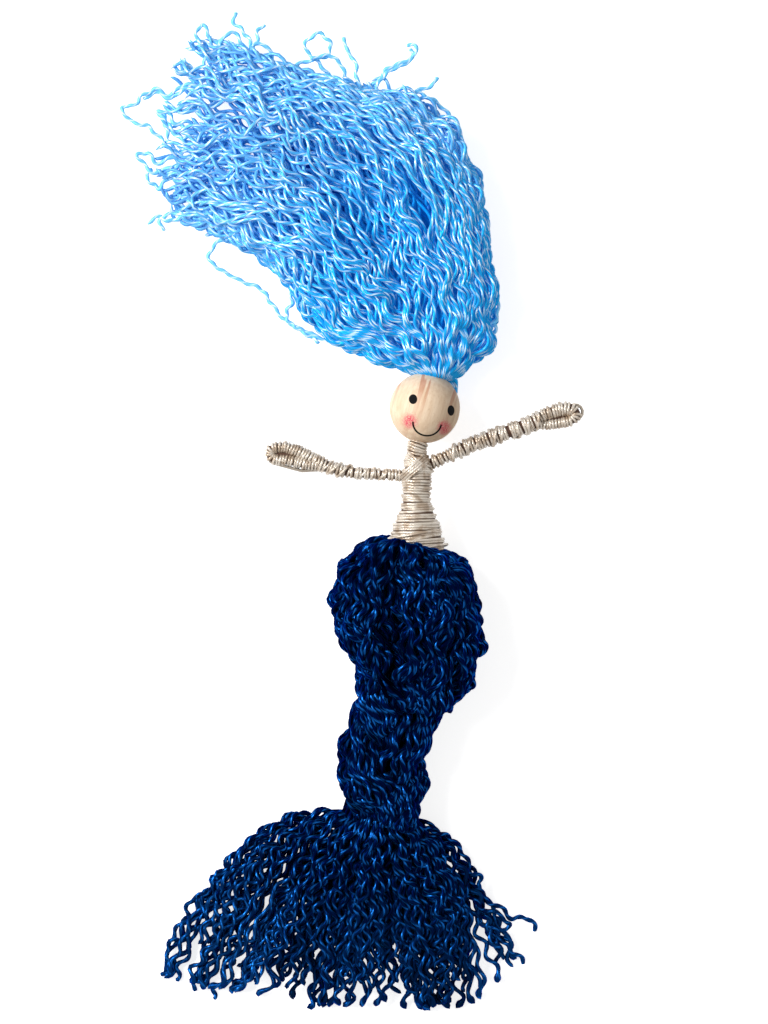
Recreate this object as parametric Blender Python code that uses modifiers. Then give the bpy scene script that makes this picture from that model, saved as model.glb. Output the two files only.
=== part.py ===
"""A yarn mermaid puppet that lies on its back: bead head, cord-wound wire body, yarn hair and yarn tail.

Metres, +Z up. The puppet lies along Y with its head towards +Y and faces up. The origin is on the
table under the middle of the hips. Left and right are those of a viewer looking down at the face.
"""

import math

import bmesh
import bpy
import numpy as np
from mathutils import Matrix, Vector

MM = 0.001

# Driving sizes
CLEARANCE = 0.3 * MM
BEAD_DIAMETER = 20.0 * MM
BEAD_BORE = 4.4 * MM
BEAD_RIM_CHAMFER = 0.5 * MM
BEAD_SEGMENTS = 28
BEAD_ARC_POINTS = 11
HEAD_TILT = math.radians(16.5)
AXIS_HEIGHT = BEAD_DIAMETER / 2

SPINE_WIRE = 1.6 * MM
NECK_WIRE = 1.2 * MM
ARM_WIRE = 0.9 * MM
NECK_LENGTH = 3.6 * MM
NECK_SIDE = -1.66 * MM
NECK_STANDOFF = 0.66 * MM
EYE_RADIUS = 1.7 * MM
EYE_STANDOFF = 3.2 * MM

CORD = 0.8 * MM
WAIST_CORD = 1.0 * MM
WIND_SLACK = 0.12 * MM
ARM_PITCH = 1.6 * MM
HAND_CORD = 0.7 * MM
HAND_PITCH = 3.0 * MM
TORSO_PITCH = 1.6 * MM
NECK_PITCH = 1.3 * MM
SMALL_TURN_POINTS = 8
TORSO_TURN_POINTS = 12

TORSO_BOTTOM = 10.0 * MM
TORSO_SEGMENTS = 24
CHEST_RADIUS = 3.9 * MM
RIB_RADIUS = 2.7 * MM
WAIST_RADIUS = 7.0 * MM
NECK_BASE_RADIUS = 2.4 * MM
CHEST_HEIGHT = 40.0 * MM
COLLAR_RISE = 4.2 * MM
TORSO_TOP = CHEST_HEIGHT + COLLAR_RISE
RIB_HEIGHT = 31.8 * MM
WAIST_HEIGHT = 16.5 * MM
BAND_CORD = 1.2 * MM
BAND_DROP = 1.0 * MM
BAND_RISE = 6.5 * MM
BAND_MARGIN = 0.5 * MM
WRAP_TOP = CHEST_HEIGHT - BAND_DROP - BAND_RISE - (BAND_CORD + WAIST_CORD) / 2 - BAND_MARGIN

SHOULDER_GAP = 4.2 * MM
HAND_HALF_WIDTH = 2.1 * MM
RETURN_SHARE = 0.62

YARN = 1.8 * MM
HIP_HALF_THICKNESS = 13.0 * MM
SOCKET_DEPTH = 11.6 * MM
KNEE = (-6.2 * MM, -25.0 * MM)
KNEE_RADIUS = 14.6 * MM
ANKLE = (-10.5 * MM, -57.0 * MM)
PLAIT_SWING = 9.0 * MM
PLAIT_WEAVE = 5.6 * MM
PLAIT_LOCK = 7.9 * MM
PLAIT_TURNS = 0.5
PLAIT_PHASE = 0.04
PLAIT_POINTS = 16
PLAIT_END = 1.6 * MM
WAIST_YARN = 1.2 * MM

COLOURS = {
    "natural_wood": ((0.84, 0.68, 0.50), 0.55, 0.0),
    "satin_cord": ((0.78, 0.72, 0.63), 0.32, 0.0),
    "galvanised_wire": ((0.55, 0.55, 0.56), 0.35, 1.0),
    "paper_padding": ((0.86, 0.82, 0.74), 0.8, 0.0),
    "navy_yarn": ((0.02, 0.10, 0.32), 0.5, 0.0),
    "sky_yarn": ((0.28, 0.62, 0.95), 0.45, 0.0),
}


# Scene and shared helpers


def clear_scene():
    for item in list(bpy.data.objects):
        bpy.data.objects.remove(item, do_unlink=True)


def make_collection(name):
    collection = bpy.data.collections.new(name)
    bpy.context.scene.collection.children.link(collection)
    return collection


def make_materials():
    made = {}
    for name, (colour, roughness, metallic) in COLOURS.items():
        material = bpy.data.materials.new(name)
        material.use_nodes = True
        shader = material.node_tree.nodes["Principled BSDF"]
        shader.inputs["Base Color"].default_value = (*colour, 1.0)
        shader.inputs["Roughness"].default_value = roughness
        shader.inputs["Metallic"].default_value = metallic
        made[name] = material
    return made


def add_part(name, data, finish, parent=None):
    """Links an object of this data to the puppet, keeping its world place under its parent."""
    item = bpy.data.objects.new(name, data)
    PUPPET.objects.link(item)
    item.data.materials.append(FINISHES[finish])
    if parent is not None:
        item.parent = parent
        item.matrix_parent_inverse = Matrix.Translation(parent.location).inverted()
    return item


def add_pivot(name, place):
    pivot = bpy.data.objects.new(name, None)
    pivot.location = place
    PUPPET.objects.link(pivot)
    return pivot


def plan(point, height):
    return Vector((point[0], point[1], height))


def smooth_line(points, count):
    """Evenly stepped points on a Catmull-Rom curve through the given ones."""
    knots = np.array(points, float)
    padded = np.vstack([2 * knots[0] - knots[1], knots, 2 * knots[-1] - knots[-2]])
    place = np.linspace(0, len(knots) - 1, count)
    index = np.minimum(place.astype(int), len(knots) - 2)
    t = (place - index)[:, None]
    a, b, c, d = (padded[index + k] for k in range(4))
    return 0.5 * (2 * b + (c - a) * t + (2 * a - 5 * b + 4 * c - d) * t**2 + (3 * b - a - 3 * c + d) * t**3)


def tube_data(name, points, diameter, resolution=1, cyclic=False):
    """A round tube along straight steps between the points, with closed ends."""
    curve = bpy.data.curves.new(name, "CURVE")
    curve.dimensions = "3D"
    curve.bevel_depth = diameter / 2
    curve.bevel_resolution = resolution
    curve.use_fill_caps = not cyclic
    spline = curve.splines.new("POLY")
    spline.points.add(len(points) - 1)
    for point, place in zip(spline.points, points):
        point.co = (*place, 1.0)
    spline.use_cyclic_u = cyclic
    return curve


def loft_data(name, rings):
    """A closed skin over rings of equally many points, with a flat face at each end."""
    mesh = bmesh.new()
    loops = [[mesh.verts.new(point) for point in ring] for ring in rings]
    sides = len(rings[0])
    for lower, upper in zip(loops, loops[1:]):
        for k in range(sides):
            following = (k + 1) % sides
            mesh.faces.new((lower[k], lower[following], upper[following], upper[k]))
    mesh.faces.new(loops[0])
    mesh.faces.new(loops[-1])
    bmesh.ops.recalc_face_normals(mesh, faces=mesh.faces)
    data = bpy.data.meshes.new(name)
    mesh.to_mesh(data)
    mesh.free()
    data.shade_smooth()
    return data


def as_mesh(item):
    """A curve object's tube as a mesh object with welded caps."""
    graph = bpy.context.evaluated_depsgraph_get()
    data = bpy.data.meshes.new_from_object(item.evaluated_get(graph))
    mesh = bmesh.new()
    mesh.from_mesh(data)
    bmesh.ops.remove_doubles(mesh, verts=mesh.verts, dist=1e-6)
    mesh.to_mesh(data)
    mesh.free()
    matrix = item.matrix_world.copy()
    bpy.data.objects.remove(item, do_unlink=True)
    made = bpy.data.objects.new(data.name, data)
    made.matrix_world = matrix
    return made


def add_cutter(name, data):
    cutter = bpy.data.objects.new(name, data)
    CUTTERS.objects.link(cutter)
    cutter.hide_render = True
    cutter.display_type = "WIRE"
    return cutter


def combine(item, other, operation, crossing=False):
    modifier = item.modifiers.new(f"{operation.lower()}_{other.name}", "BOOLEAN")
    modifier.operation = operation
    modifier.object = other
    modifier.use_self = crossing


def cylinder_cutter(name, centre, radius, height, axis=(0, 0, 1), segments=32):
    mesh = bmesh.new()
    turn = Vector((0, 0, 1)).rotation_difference(Vector(axis)).to_matrix().to_4x4()
    place = Matrix.Translation(centre) @ turn
    bmesh.ops.create_cone(
        mesh, cap_ends=True, segments=segments, radius1=radius, radius2=radius, depth=height, matrix=place
    )
    data = bpy.data.meshes.new(name)
    mesh.to_mesh(data)
    mesh.free()
    return add_cutter(name, data)


def turned_data(name, profile):
    """The (radius, height) profile as edges in the XZ plane, ready for a Screw modifier."""
    mesh = bmesh.new()
    corners = [mesh.verts.new((radius, 0, height)) for radius, height in profile]
    for k, corner in enumerate(corners):
        mesh.edges.new((corner, corners[(k + 1) % len(corners)]))
    data = bpy.data.meshes.new(name)
    mesh.to_mesh(data)
    mesh.free()
    return data


def turn_about(item, steps):
    screw = item.modifiers.new("turn", "SCREW")
    screw.steps = steps
    screw.render_steps = steps
    screw.use_merge_vertices = True
    screw.merge_threshold = 1e-6
    screw.use_smooth_shade = True


# Cord windings


def side_frames(path):
    """For each point of a path in a level plane: its tangent, its level side and up."""
    tangent = np.gradient(path, axis=0)
    tangent /= np.linalg.norm(tangent, axis=1)[:, None]
    side = np.stack([tangent[:, 1], -tangent[:, 0], np.zeros(len(path))], axis=1)
    side /= np.linalg.norm(side, axis=1)[:, None]
    return tangent, side, np.cross(side, tangent)


def wind_points(path, radius, turns, turn_points, diameter, height_radius=None):
    """A helix round the path, its radius given along it, with straight ends one diameter long."""
    count = int(round(turns * turn_points)) + 1
    share = np.linspace(0, 1, count)
    lengths = np.concatenate([[0], np.cumsum(np.linalg.norm(np.diff(path, axis=0), axis=1))])
    lengths /= lengths[-1]
    centre = np.stack([np.interp(share, lengths, path[:, k]) for k in range(3)], axis=1)
    across = np.interp(share, lengths, np.broadcast_to(radius, len(path)))
    upward = across if height_radius is None else np.full(count, height_radius)
    _, side, up = side_frames(centre)
    angle = 2 * math.pi * turns * share
    points = centre + side * (across * np.cos(angle))[:, None] + up * (upward * np.sin(angle))[:, None]
    first = points[0] + (points[0] - points[1]) / np.linalg.norm(points[0] - points[1]) * diameter
    last = points[-1] + (points[-1] - points[-2]) / np.linalg.norm(points[-1] - points[-2]) * diameter
    return np.vstack([first, points, last])


def least_gap(points, diameter, turn_points):
    """The smallest gap between points of one winding that are at least half a turn apart."""
    apart = np.linalg.norm(points[:, None] - points[None], axis=2)
    steps = np.abs(np.subtract.outer(np.arange(len(points)), np.arange(len(points))))
    return apart[steps > turn_points // 2].min() - diameter


def add_winding(name, path, radius, pitch, turn_points, diameter, finish, parent=None, height_radius=None):
    path = np.array(path, float)
    length = np.linalg.norm(np.diff(path, axis=0), axis=1).sum()
    turns = math.floor(length / pitch)
    points = wind_points(path, radius, turns, turn_points, diameter, height_radius)
    print(f"{name}: {turns} turns, least gap {least_gap(points, diameter, turn_points) / MM:.2f} mm")
    return add_part(name, tube_data(name, points, diameter), finish, parent)


# Head, neck and torso


def head_direction():
    return Vector((math.sin(HEAD_TILT), math.cos(HEAD_TILT), 0))


def neck_pivot_place():
    return Vector((NECK_SIDE, TORSO_TOP + NECK_STANDOFF, AXIS_HEIGHT))


def head_centre():
    return neck_pivot_place() + head_direction() * (NECK_LENGTH + BEAD_DIAMETER / 2)


def hair_pivot_place():
    return head_centre() + head_direction() * (BEAD_DIAMETER / 2 + EYE_STANDOFF)


def add_head(pivot):
    """A turned bead with a bore right through it and a small chamfer at each mouth."""
    radius = BEAD_DIAMETER / 2
    bore = BEAD_BORE / 2
    mouth = bore + BEAD_RIM_CHAMFER
    top = math.sqrt(radius**2 - mouth**2)
    start = math.asin(mouth / radius)
    arc = np.linspace(start, math.pi - start, BEAD_ARC_POINTS)
    outer = [(radius * math.sin(a), radius * math.cos(a)) for a in arc]
    inner = [(bore, -top + BEAD_RIM_CHAMFER), (bore, top - BEAD_RIM_CHAMFER)]
    bead = add_part("head_bead", turned_data("head_bead", outer + inner), "natural_wood", pivot)
    turn_about(bead, BEAD_SEGMENTS)
    bead.location = head_centre()
    bead.rotation_euler = (-math.pi / 2, 0, -HEAD_TILT)


def add_neck(pivot):
    """The neck wire runs through the bead and ends in an eye; cord is wound on it below the bead."""
    base = neck_pivot_place()
    eye = hair_pivot_place()
    along = head_direction()
    across = Vector((along.y, -along.x, 0))
    stem = [base + along * step for step in np.linspace(0, (eye - base).length - EYE_RADIUS, 6)]
    turn = np.linspace(0, 2 * math.pi, 17)[1:-1]
    ring = [eye - along * EYE_RADIUS * math.cos(a) + across * EYE_RADIUS * math.sin(a) for a in turn]
    add_part("neck_wire", tube_data("neck_wire", stem + ring, NECK_WIRE), "galvanised_wire", pivot)
    radius = NECK_WIRE / 2 + CLEARANCE + CORD / 2 + WIND_SLACK
    path = [base + along * 3 * CLEARANCE, base + along * NECK_LENGTH]
    add_winding("neck_wrap", path, radius, NECK_PITCH, SMALL_TURN_POINTS, CORD, "satin_cord", pivot)


def torso_radius(height):
    heights = [TORSO_BOTTOM, WAIST_HEIGHT, RIB_HEIGHT, CHEST_HEIGHT, TORSO_TOP]
    radii = [WAIST_RADIUS, WAIST_RADIUS, RIB_RADIUS, CHEST_RADIUS, NECK_BASE_RADIUS]
    return np.interp(height, heights, radii)


def add_torso(shoulders):
    """A padded core turned about the spine, bored for the spine wire and dimpled at the shoulders."""
    heights = np.linspace(TORSO_TOP, TORSO_BOTTOM, 14)
    bore = SPINE_WIRE / 2 + CLEARANCE
    outer = [(torso_radius(h), h) for h in heights]
    inner = [(bore, TORSO_BOTTOM), (bore, TORSO_TOP)]
    core = add_part("torso_padding", turned_data("torso_padding", outer + inner), "paper_padding")
    turn_about(core, TORSO_SEGMENTS)
    core.location = (0, 0, AXIS_HEIGHT)
    core.rotation_euler = (-math.pi / 2, 0, 0)
    for name, shoulder in shoulders.items():
        reach = ARM_WIRE / 2 + CLEARANCE
        dimple = cylinder_cutter(f"{name}_dimple", shoulder, reach, 2 * reach, segments=16)
        combine(core, dimple, "DIFFERENCE")
    ends = np.linspace(TORSO_BOTTOM - SOCKET_DEPTH / 2, TORSO_TOP - SPINE_WIRE, 4)
    spine = [Vector((0, y, AXIS_HEIGHT)) for y in ends]
    add_part("spine_wire", tube_data("spine_wire", spine, SPINE_WIRE), "galvanised_wire")


def add_torso_cords():
    """The waist-to-rib winding, and two slanted bands that cross on the chest."""
    heights = np.linspace(WAIST_HEIGHT, WRAP_TOP, 12)
    path = [Vector((0, y, AXIS_HEIGHT)) for y in heights]
    radius = torso_radius(heights) + CLEARANCE + WAIST_CORD / 2 + 2 * WIND_SLACK
    add_winding("torso_wrap", path, radius, TORSO_PITCH, TORSO_TURN_POINTS, WAIST_CORD, "satin_cord")
    for level, (name, slope) in enumerate((("chest_band_under", -1), ("chest_band_over", 1))):
        ring = CHEST_RADIUS + CLEARANCE + BAND_CORD / 2 + WIND_SLACK + level * (BAND_CORD + CLEARANCE)
        turn = np.linspace(0, 2 * math.pi, 25)[:-1]
        heights = CHEST_HEIGHT - BAND_DROP + slope * BAND_RISE * np.cos(turn)
        loop = np.stack([ring * np.cos(turn), heights, AXIS_HEIGHT + ring * np.sin(turn)], axis=1)
        add_part(name, tube_data(name, loop, BAND_CORD, cyclic=True), "satin_cord")


# Arms


ARMS = {
    "left": {
        "shoulder_inset": -0.2 * MM,
        "shoulder_rise": -1.4 * MM,
        "side": -1,
        "arm_angle": math.radians(174.5),
        "arm_length": 23.8 * MM,
        "hand_angle": math.radians(165),
        "hand_length": 15.3 * MM,
    },
    "right": {
        "shoulder_inset": -0.1 * MM,
        "shoulder_rise": 1.7 * MM,
        "side": 1,
        "arm_angle": math.radians(23),
        "arm_length": 33.9 * MM,
        "hand_angle": math.radians(10.5),
        "hand_length": 12.4 * MM,
    },
}


def heading(angle):
    return Vector((math.cos(angle), math.sin(angle), 0))


def shoulder_place(size):
    """Where an arm's wire enters the side of the chest."""
    reach = CHEST_RADIUS - size["shoulder_inset"]
    return Vector((size["side"] * reach, CHEST_HEIGHT + size["shoulder_rise"], AXIS_HEIGHT))


def hand_loop(wrist, angle, length):
    """The wire's teardrop path round a hand, from the wrist out and back to it."""
    along = heading(angle)
    across = Vector((-along.y, along.x, 0))
    run = (ARM_WIRE + CLEARANCE) / 2
    straight = length - HAND_HALF_WIDTH - ARM_WIRE / 2
    outward = [
        wrist + across * run,
        wrist + along * straight * 0.35 + across * HAND_HALF_WIDTH,
        wrist + along * straight * 0.7 + across * HAND_HALF_WIDTH,
    ]
    turn = np.linspace(math.pi / 2, -math.pi / 2, 7)
    round_end = [
        wrist + along * (straight + HAND_HALF_WIDTH * math.cos(a)) + across * HAND_HALF_WIDTH * math.sin(a)
        for a in turn
    ]
    mirrored = [point - 2 * across * (point - wrist).dot(across) for point in reversed(outward)]
    return outward + round_end + mirrored


def add_arm(name, size, pivot):
    """One wire goes out, loops round as a hand and comes back, and cord is wound on arm and hand."""
    shoulder = shoulder_place(size)
    along = heading(size["arm_angle"])
    across = Vector((-along.y, along.x, 0))
    wrist = shoulder + along * size["arm_length"]
    run = (ARM_WIRE + CLEARANCE) / 2
    loop = hand_loop(wrist, size["hand_angle"], size["hand_length"])
    outgoing = [shoulder, shoulder + along * SHOULDER_GAP * 0.5, shoulder + along * SHOULDER_GAP + across * run]
    home = wrist - along * size["arm_length"] * RETURN_SHARE - across * run
    wire = outgoing + loop + [home]
    add_part(f"{name}_arm_wire", tube_data(f"{name}_arm_wire", wire, ARM_WIRE), "galvanised_wire", pivot)

    radius = run + ARM_WIRE / 2 + CLEARANCE + CORD / 2 + WIND_SLACK
    path = [shoulder + along * SHOULDER_GAP, wrist - along * CORD]
    add_winding(f"{name}_arm_wrap", path, radius, ARM_PITCH, SMALL_TURN_POINTS, CORD, "satin_cord", pivot)
    radius = ARM_WIRE / 2 + CLEARANCE + HAND_CORD / 2 + WIND_SLACK
    path = smooth_line(loop[1:-1], 40)
    add_winding(f"{name}_hand_wrap", path, radius, HAND_PITCH, SMALL_TURN_POINTS, HAND_CORD, "satin_cord", pivot)


# Yarn masses


def mass_rings(left, right, thickness, count, sides, ribs, rib_depth):
    """Sections between two outlines: a flattened oval that stands on the table.

    Ribs for the locks of yarn rise along it. With a negative depth a groove runs down the middle.
    """
    left_line = smooth_line(left, count)
    right_line = smooth_line(right, count)
    half_height = smooth_line([(t, 0) for t in thickness], count)[:, 0]
    angle = np.linspace(0, 2 * math.pi, sides, endpoint=False)
    growth = np.minimum(1, 2.5 * np.linspace(0, 1, count))
    rings = []
    for edge_a, edge_b, height, grown in zip(left_line, right_line, half_height, growth):
        middle = (edge_a + edge_b) / 2
        reach = (edge_b - edge_a) / 2
        across = np.sign(np.cos(angle)) * np.abs(np.cos(angle)) ** 0.8
        ripple = 1 + grown * rib_depth * np.cos(ribs * math.pi * across)
        up = height * np.sin(angle) * ripple
        level = np.maximum(0.9 * height + up, 0)
        rings.append([(*(middle + reach * a), z) for a, z in zip(across, level)])
    return rings


def strand_points(root, tip, height, wave, waves, phase, count):
    """A crimped yarn end that runs from root to tip and settles on the table."""
    share = np.linspace(0, 1, count)[:, None]
    start = np.array(root, float)
    end = np.array(tip, float)
    direction = (end - start) / np.linalg.norm(end - start)
    side = np.array([-direction[1], direction[0]])
    sway = wave * np.sin(2 * math.pi * waves * share + phase)
    level = height + (YARN / 2 - height) * share
    return np.hstack([start + (end - start) * share + side * sway, level])


def add_strands(item, name, roots, tips, height, wave, waves, diameter):
    """Fuses crimped yarn ends into a mass, each rooted inside it."""
    parts = []
    for k, (root, tip) in enumerate(zip(roots, tips)):
        points = strand_points(root, tip, height, wave, waves, 2.4 * k, 9)
        tube = bpy.data.objects.new(f"{name}_{k}", tube_data(f"{name}_{k}", points, diameter, resolution=0))
        CUTTERS.objects.link(tube)
        bpy.context.view_layer.update()
        parts.append(as_mesh(tube))
    joined = bmesh.new()
    for part in parts:
        joined.from_mesh(part.data)
        bpy.data.objects.remove(part)
    data = bpy.data.meshes.new(name)
    bmesh.ops.recalc_face_normals(joined, faces=joined.faces)
    joined.to_mesh(data)
    joined.free()
    combine(item, add_cutter(name, data), "UNION", crossing=True)


def in_mm(points):
    return [tuple(value * MM for value in point) for point in points]


def spread(line, count, start=0.04, end=0.96):
    """Points at even shares of a smooth line through the given ones."""
    dense = smooth_line(line, 200)
    return dense[np.linspace(start * 199, end * 199, count).round().astype(int)]


# The hair's points are taken from the middle of the bead.
HAIR_LEFT = in_mm(
    [(1.7, 11.2), (0, 14.1), (-9.2, 17.1), (-24.2, 21.1), (-38.2, 32.1), (-51.2, 44.1), (-61.2, 54.1), (-66.2, 63.1)]
)
HAIR_RIGHT = in_mm(
    [(4.7, 10.3), (7.6, 12.7), (15.3, 21.1), (19.3, 37.1), (15.3, 60.1), (3.8, 81.1), (-14.2, 92.1), (-35.2, 94.1)]
)
HAIR_THICKNESS = [2.6 * MM, 3.0 * MM, 6.5 * MM, 9.5 * MM, 10 * MM, 8.5 * MM, 6 * MM, 3 * MM]
HAIR_TIPS = in_mm(
    [(-77.2, 53.1), (-82.2, 69.1), (-80.2, 80.1), (-86.2, 85.6), (-68.2, 94.1), (-64.2, 106.1), (-54.2, 111.6), (-44.2, 102.1), (-30.2, 106.1)]
)
HAIR_STRAND_COUNT = 26
HAIR_YARN = 1.6 * MM
HAIR_END_HEIGHT = 3.0 * MM
HAIR_WAVE = 1.0 * MM

HIP_LEFT = in_mm([(-11.5, 20.4), (-17, 17), (-21.6, 10), (-23, 0), (-20, -10), (-17, -17.2)])
HIP_RIGHT = in_mm([(11, 16.4), (15.4, 12.5), (18.3, 4), (19, -6), (15, -13), (6.6, -17.2)])
HIP_THICKNESS = [11.6 * MM, 12.6 * MM, HIP_HALF_THICKNESS, 12.5 * MM, 11 * MM, 9.5 * MM]

FIN_LEFT = in_mm([(-14, -57.5), (-19.5, -60.2), (-32, -62.5), (-44, -68), (-52, -77), (-57, -85), (-60, -93)])
FIN_RIGHT = in_mm([(-7, -57.5), (-1.5, -60.2), (4, -62.5), (11, -68), (16.5, -78), (18.5, -88), (18, -98)])
FIN_THICKNESS = [5.5 * MM, 6.5 * MM, 7.5 * MM, 8 * MM, 7 * MM, 5 * MM, 2.6 * MM]
FIN_TIPS = in_mm([(-73, -103), (-62, -110), (-40, -112), (-20, -113), (4, -113), (19, -111), (30, -98), (33.5, -90)])
FIN_STRAND_COUNT = 28
FIN_END_HEIGHT = 2.4 * MM
FIN_WAVE = 0.9 * MM


def from_head(points):
    centre = head_centre()
    return [(centre.x + x, centre.y + y) for x, y in points]


def add_hair(pivot):
    """A folded hank: a ribbed fan with loose ends, forked at its root round the neck wire's eye."""
    left, right, tips = (from_head(points) for points in (HAIR_LEFT, HAIR_RIGHT, HAIR_TIPS))
    rings = mass_rings(left, right, HAIR_THICKNESS, 13, 64, 6, 0.13)
    lift = AXIS_HEIGHT - 0.9 * HAIR_THICKNESS[0]
    fall = np.linspace(1, 0, len(rings)) ** 2
    rings = [[(x, y, z + lift * f) for x, y, z in ring] for ring, f in zip(rings, fall)]
    hank = add_part("hair_hank", loft_data("hair_hank", rings), "sky_yarn", pivot)
    inner = [left[-1], right[-1]]
    middle = np.mean([left[2], right[2]], axis=0)
    roots = [end + (middle - end) * 0.16 for end in spread(inner, HAIR_STRAND_COUNT)]
    ends = spread(tips, HAIR_STRAND_COUNT)
    add_strands(hank, "hair_ends", roots, ends, HAIR_END_HEIGHT, HAIR_WAVE, 2.5, HAIR_YARN)
    eye = hair_pivot_place()
    slot_radius = EYE_RADIUS + NECK_WIRE / 2 + 2 * CLEARANCE
    slot = cylinder_cutter("hair_slot", eye, slot_radius, NECK_WIRE + 2 * CLEARANCE)
    core = cylinder_cutter("hair_fold_core", eye, EYE_RADIUS - NECK_WIRE / 2 - CLEARANCE, 4 * NECK_WIRE)
    combine(slot, core, "DIFFERENCE")
    combine(hank, slot, "DIFFERENCE")


def add_hips():
    """The yarn folded down over the waist, hollowed for the waist and rounded out above the knee."""
    rings = mass_rings(HIP_LEFT, HIP_RIGHT, HIP_THICKNESS, 13, 48, 2, -0.09)
    hips = add_part("hip_yarn", loft_data("hip_yarn", rings), "navy_yarn")
    socket_radius = WAIST_RADIUS + 2 * CLEARANCE + WAIST_YARN + 2 * WIND_SLACK
    floor = TORSO_BOTTOM - CLEARANCE
    socket = cylinder_cutter(
        "waist_socket", (0, floor + SOCKET_DEPTH, AXIS_HEIGHT), socket_radius, 2 * SOCKET_DEPTH, axis=(0, 1, 0)
    )
    bore = cylinder_cutter(
        "spine_bore", (0, floor, AXIS_HEIGHT), SPINE_WIRE / 2 + CLEARANCE, SOCKET_DEPTH + 2 * CLEARANCE, (0, 1, 0), 12
    )
    through = 6 * HIP_HALF_THICKNESS
    knee = cylinder_cutter("knee_round", plan(KNEE, 0), KNEE_RADIUS + CLEARANCE, through, segments=48)
    for cutter in (socket, bore, knee):
        combine(hips, cutter, "DIFFERENCE")


def add_waist_tie():
    """Yarn wound twice round the bottom of the torso, under the fold."""
    radius = WAIST_RADIUS + CLEARANCE + WAIST_YARN / 2 + 2 * WIND_SLACK
    ends = (TORSO_BOTTOM + WAIST_YARN / 2, WAIST_HEIGHT - WAIST_CORD - WAIST_YARN)
    path = [Vector((0, y, AXIS_HEIGHT)) for y in ends]
    pitch = (ends[1] - ends[0]) / 2.01
    add_winding("waist_tie", path, radius, pitch, TORSO_TURN_POINTS, WAIST_YARN, "navy_yarn")


def plait_path(phase):
    """One of three locks that swing from side to side and over and under each other."""
    widest = PLAIT_SWING + PLAIT_LOCK / 2
    start = np.array(KNEE) + (0, math.sqrt(KNEE_RADIUS**2 - widest**2) - PLAIT_END)
    end = np.array(ANKLE) + (0, PLAIT_END)
    share = np.linspace(0, 1, PLAIT_POINTS)[:, None]
    turn = 2 * math.pi * (PLAIT_TURNS * share + phase + PLAIT_PHASE)
    middle = start + (end - start) * share
    level = PLAIT_LOCK / 2 + PLAIT_WEAVE
    sideways = PLAIT_SWING * np.sin(turn)
    points = np.hstack([middle + np.hstack([sideways, 0 * sideways]), level - PLAIT_WEAVE * np.sin(2 * turn)])
    corner = abs(sideways[0, 0]) + PLAIT_LOCK / 2
    top = points[0].copy()
    top[1] = KNEE[1] + math.sqrt(KNEE_RADIUS**2 - corner**2)
    return np.vstack([top, points, points[-1] - (0, PLAIT_END, 0)])


def add_plait(pivot):
    for k, name in enumerate(("plait_lock_a", "plait_lock_b", "plait_lock_c")):
        add_part(name, tube_data(name, plait_path(k / 3), PLAIT_LOCK, resolution=2), "navy_yarn", pivot)


def add_fin(pivot):
    """The fringe below the ankle: a ribbed fan with loose ends."""
    rings = mass_rings(FIN_LEFT, FIN_RIGHT, FIN_THICKNESS, 11, 64, 6, 0.14)
    fringe = add_part("fin_fringe", loft_data("fin_fringe", rings), "navy_yarn", pivot)
    inner = [FIN_LEFT[-1], FIN_RIGHT[-1]]
    middle = np.mean([FIN_LEFT[1], FIN_RIGHT[1]], axis=0)
    roots = [end + (middle - end) * 0.12 for end in spread(inner, FIN_STRAND_COUNT)]
    ends = spread(FIN_TIPS, FIN_STRAND_COUNT)
    add_strands(fringe, "fin_ends", roots, ends, FIN_END_HEIGHT, FIN_WAVE, 1.6, YARN)


def build_puppet():
    neck = add_pivot("neck_pivot", neck_pivot_place())
    hair = add_pivot("hair_pivot", hair_pivot_place())
    knee = add_pivot("knee_pivot", plan(KNEE, AXIS_HEIGHT))
    ankle = add_pivot("ankle_pivot", plan(ANKLE, AXIS_HEIGHT))
    add_head(neck)
    add_neck(neck)
    add_torso({name: shoulder_place(size) for name, size in ARMS.items()})
    add_torso_cords()
    for name, size in ARMS.items():
        add_arm(name, size, add_pivot(f"{name}_shoulder_pivot", shoulder_place(size)))
    add_hair(hair)
    add_hips()
    add_waist_tie()
    add_plait(knee)
    add_fin(ankle)


clear_scene()
PUPPET = make_collection("yarn_mermaid_puppet")
CUTTERS = make_collection("cutters")
FINISHES = make_materials()
build_puppet()
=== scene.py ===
import math

import bpy
import numpy as np
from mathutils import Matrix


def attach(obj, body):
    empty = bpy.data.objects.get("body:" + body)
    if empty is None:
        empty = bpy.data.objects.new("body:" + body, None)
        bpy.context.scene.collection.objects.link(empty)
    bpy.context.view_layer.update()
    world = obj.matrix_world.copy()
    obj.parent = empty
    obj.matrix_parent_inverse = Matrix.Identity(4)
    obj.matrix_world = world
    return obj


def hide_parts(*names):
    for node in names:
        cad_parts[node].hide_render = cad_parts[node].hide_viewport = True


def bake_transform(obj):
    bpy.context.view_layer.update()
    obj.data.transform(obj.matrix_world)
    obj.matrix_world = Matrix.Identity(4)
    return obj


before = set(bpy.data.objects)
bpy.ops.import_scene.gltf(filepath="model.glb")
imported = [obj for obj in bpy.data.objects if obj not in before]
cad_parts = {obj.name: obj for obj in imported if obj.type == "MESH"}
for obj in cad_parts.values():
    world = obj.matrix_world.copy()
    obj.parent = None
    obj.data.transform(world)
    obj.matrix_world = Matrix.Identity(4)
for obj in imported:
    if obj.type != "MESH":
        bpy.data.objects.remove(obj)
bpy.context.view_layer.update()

MM = 0.001

# The photo's scale, its size in pixels and the pixel that lies at the origin
PIXEL = 0.2837 * MM
FRAME = np.array((768, 1024))
ORIGIN = np.array((417, 612))

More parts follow.
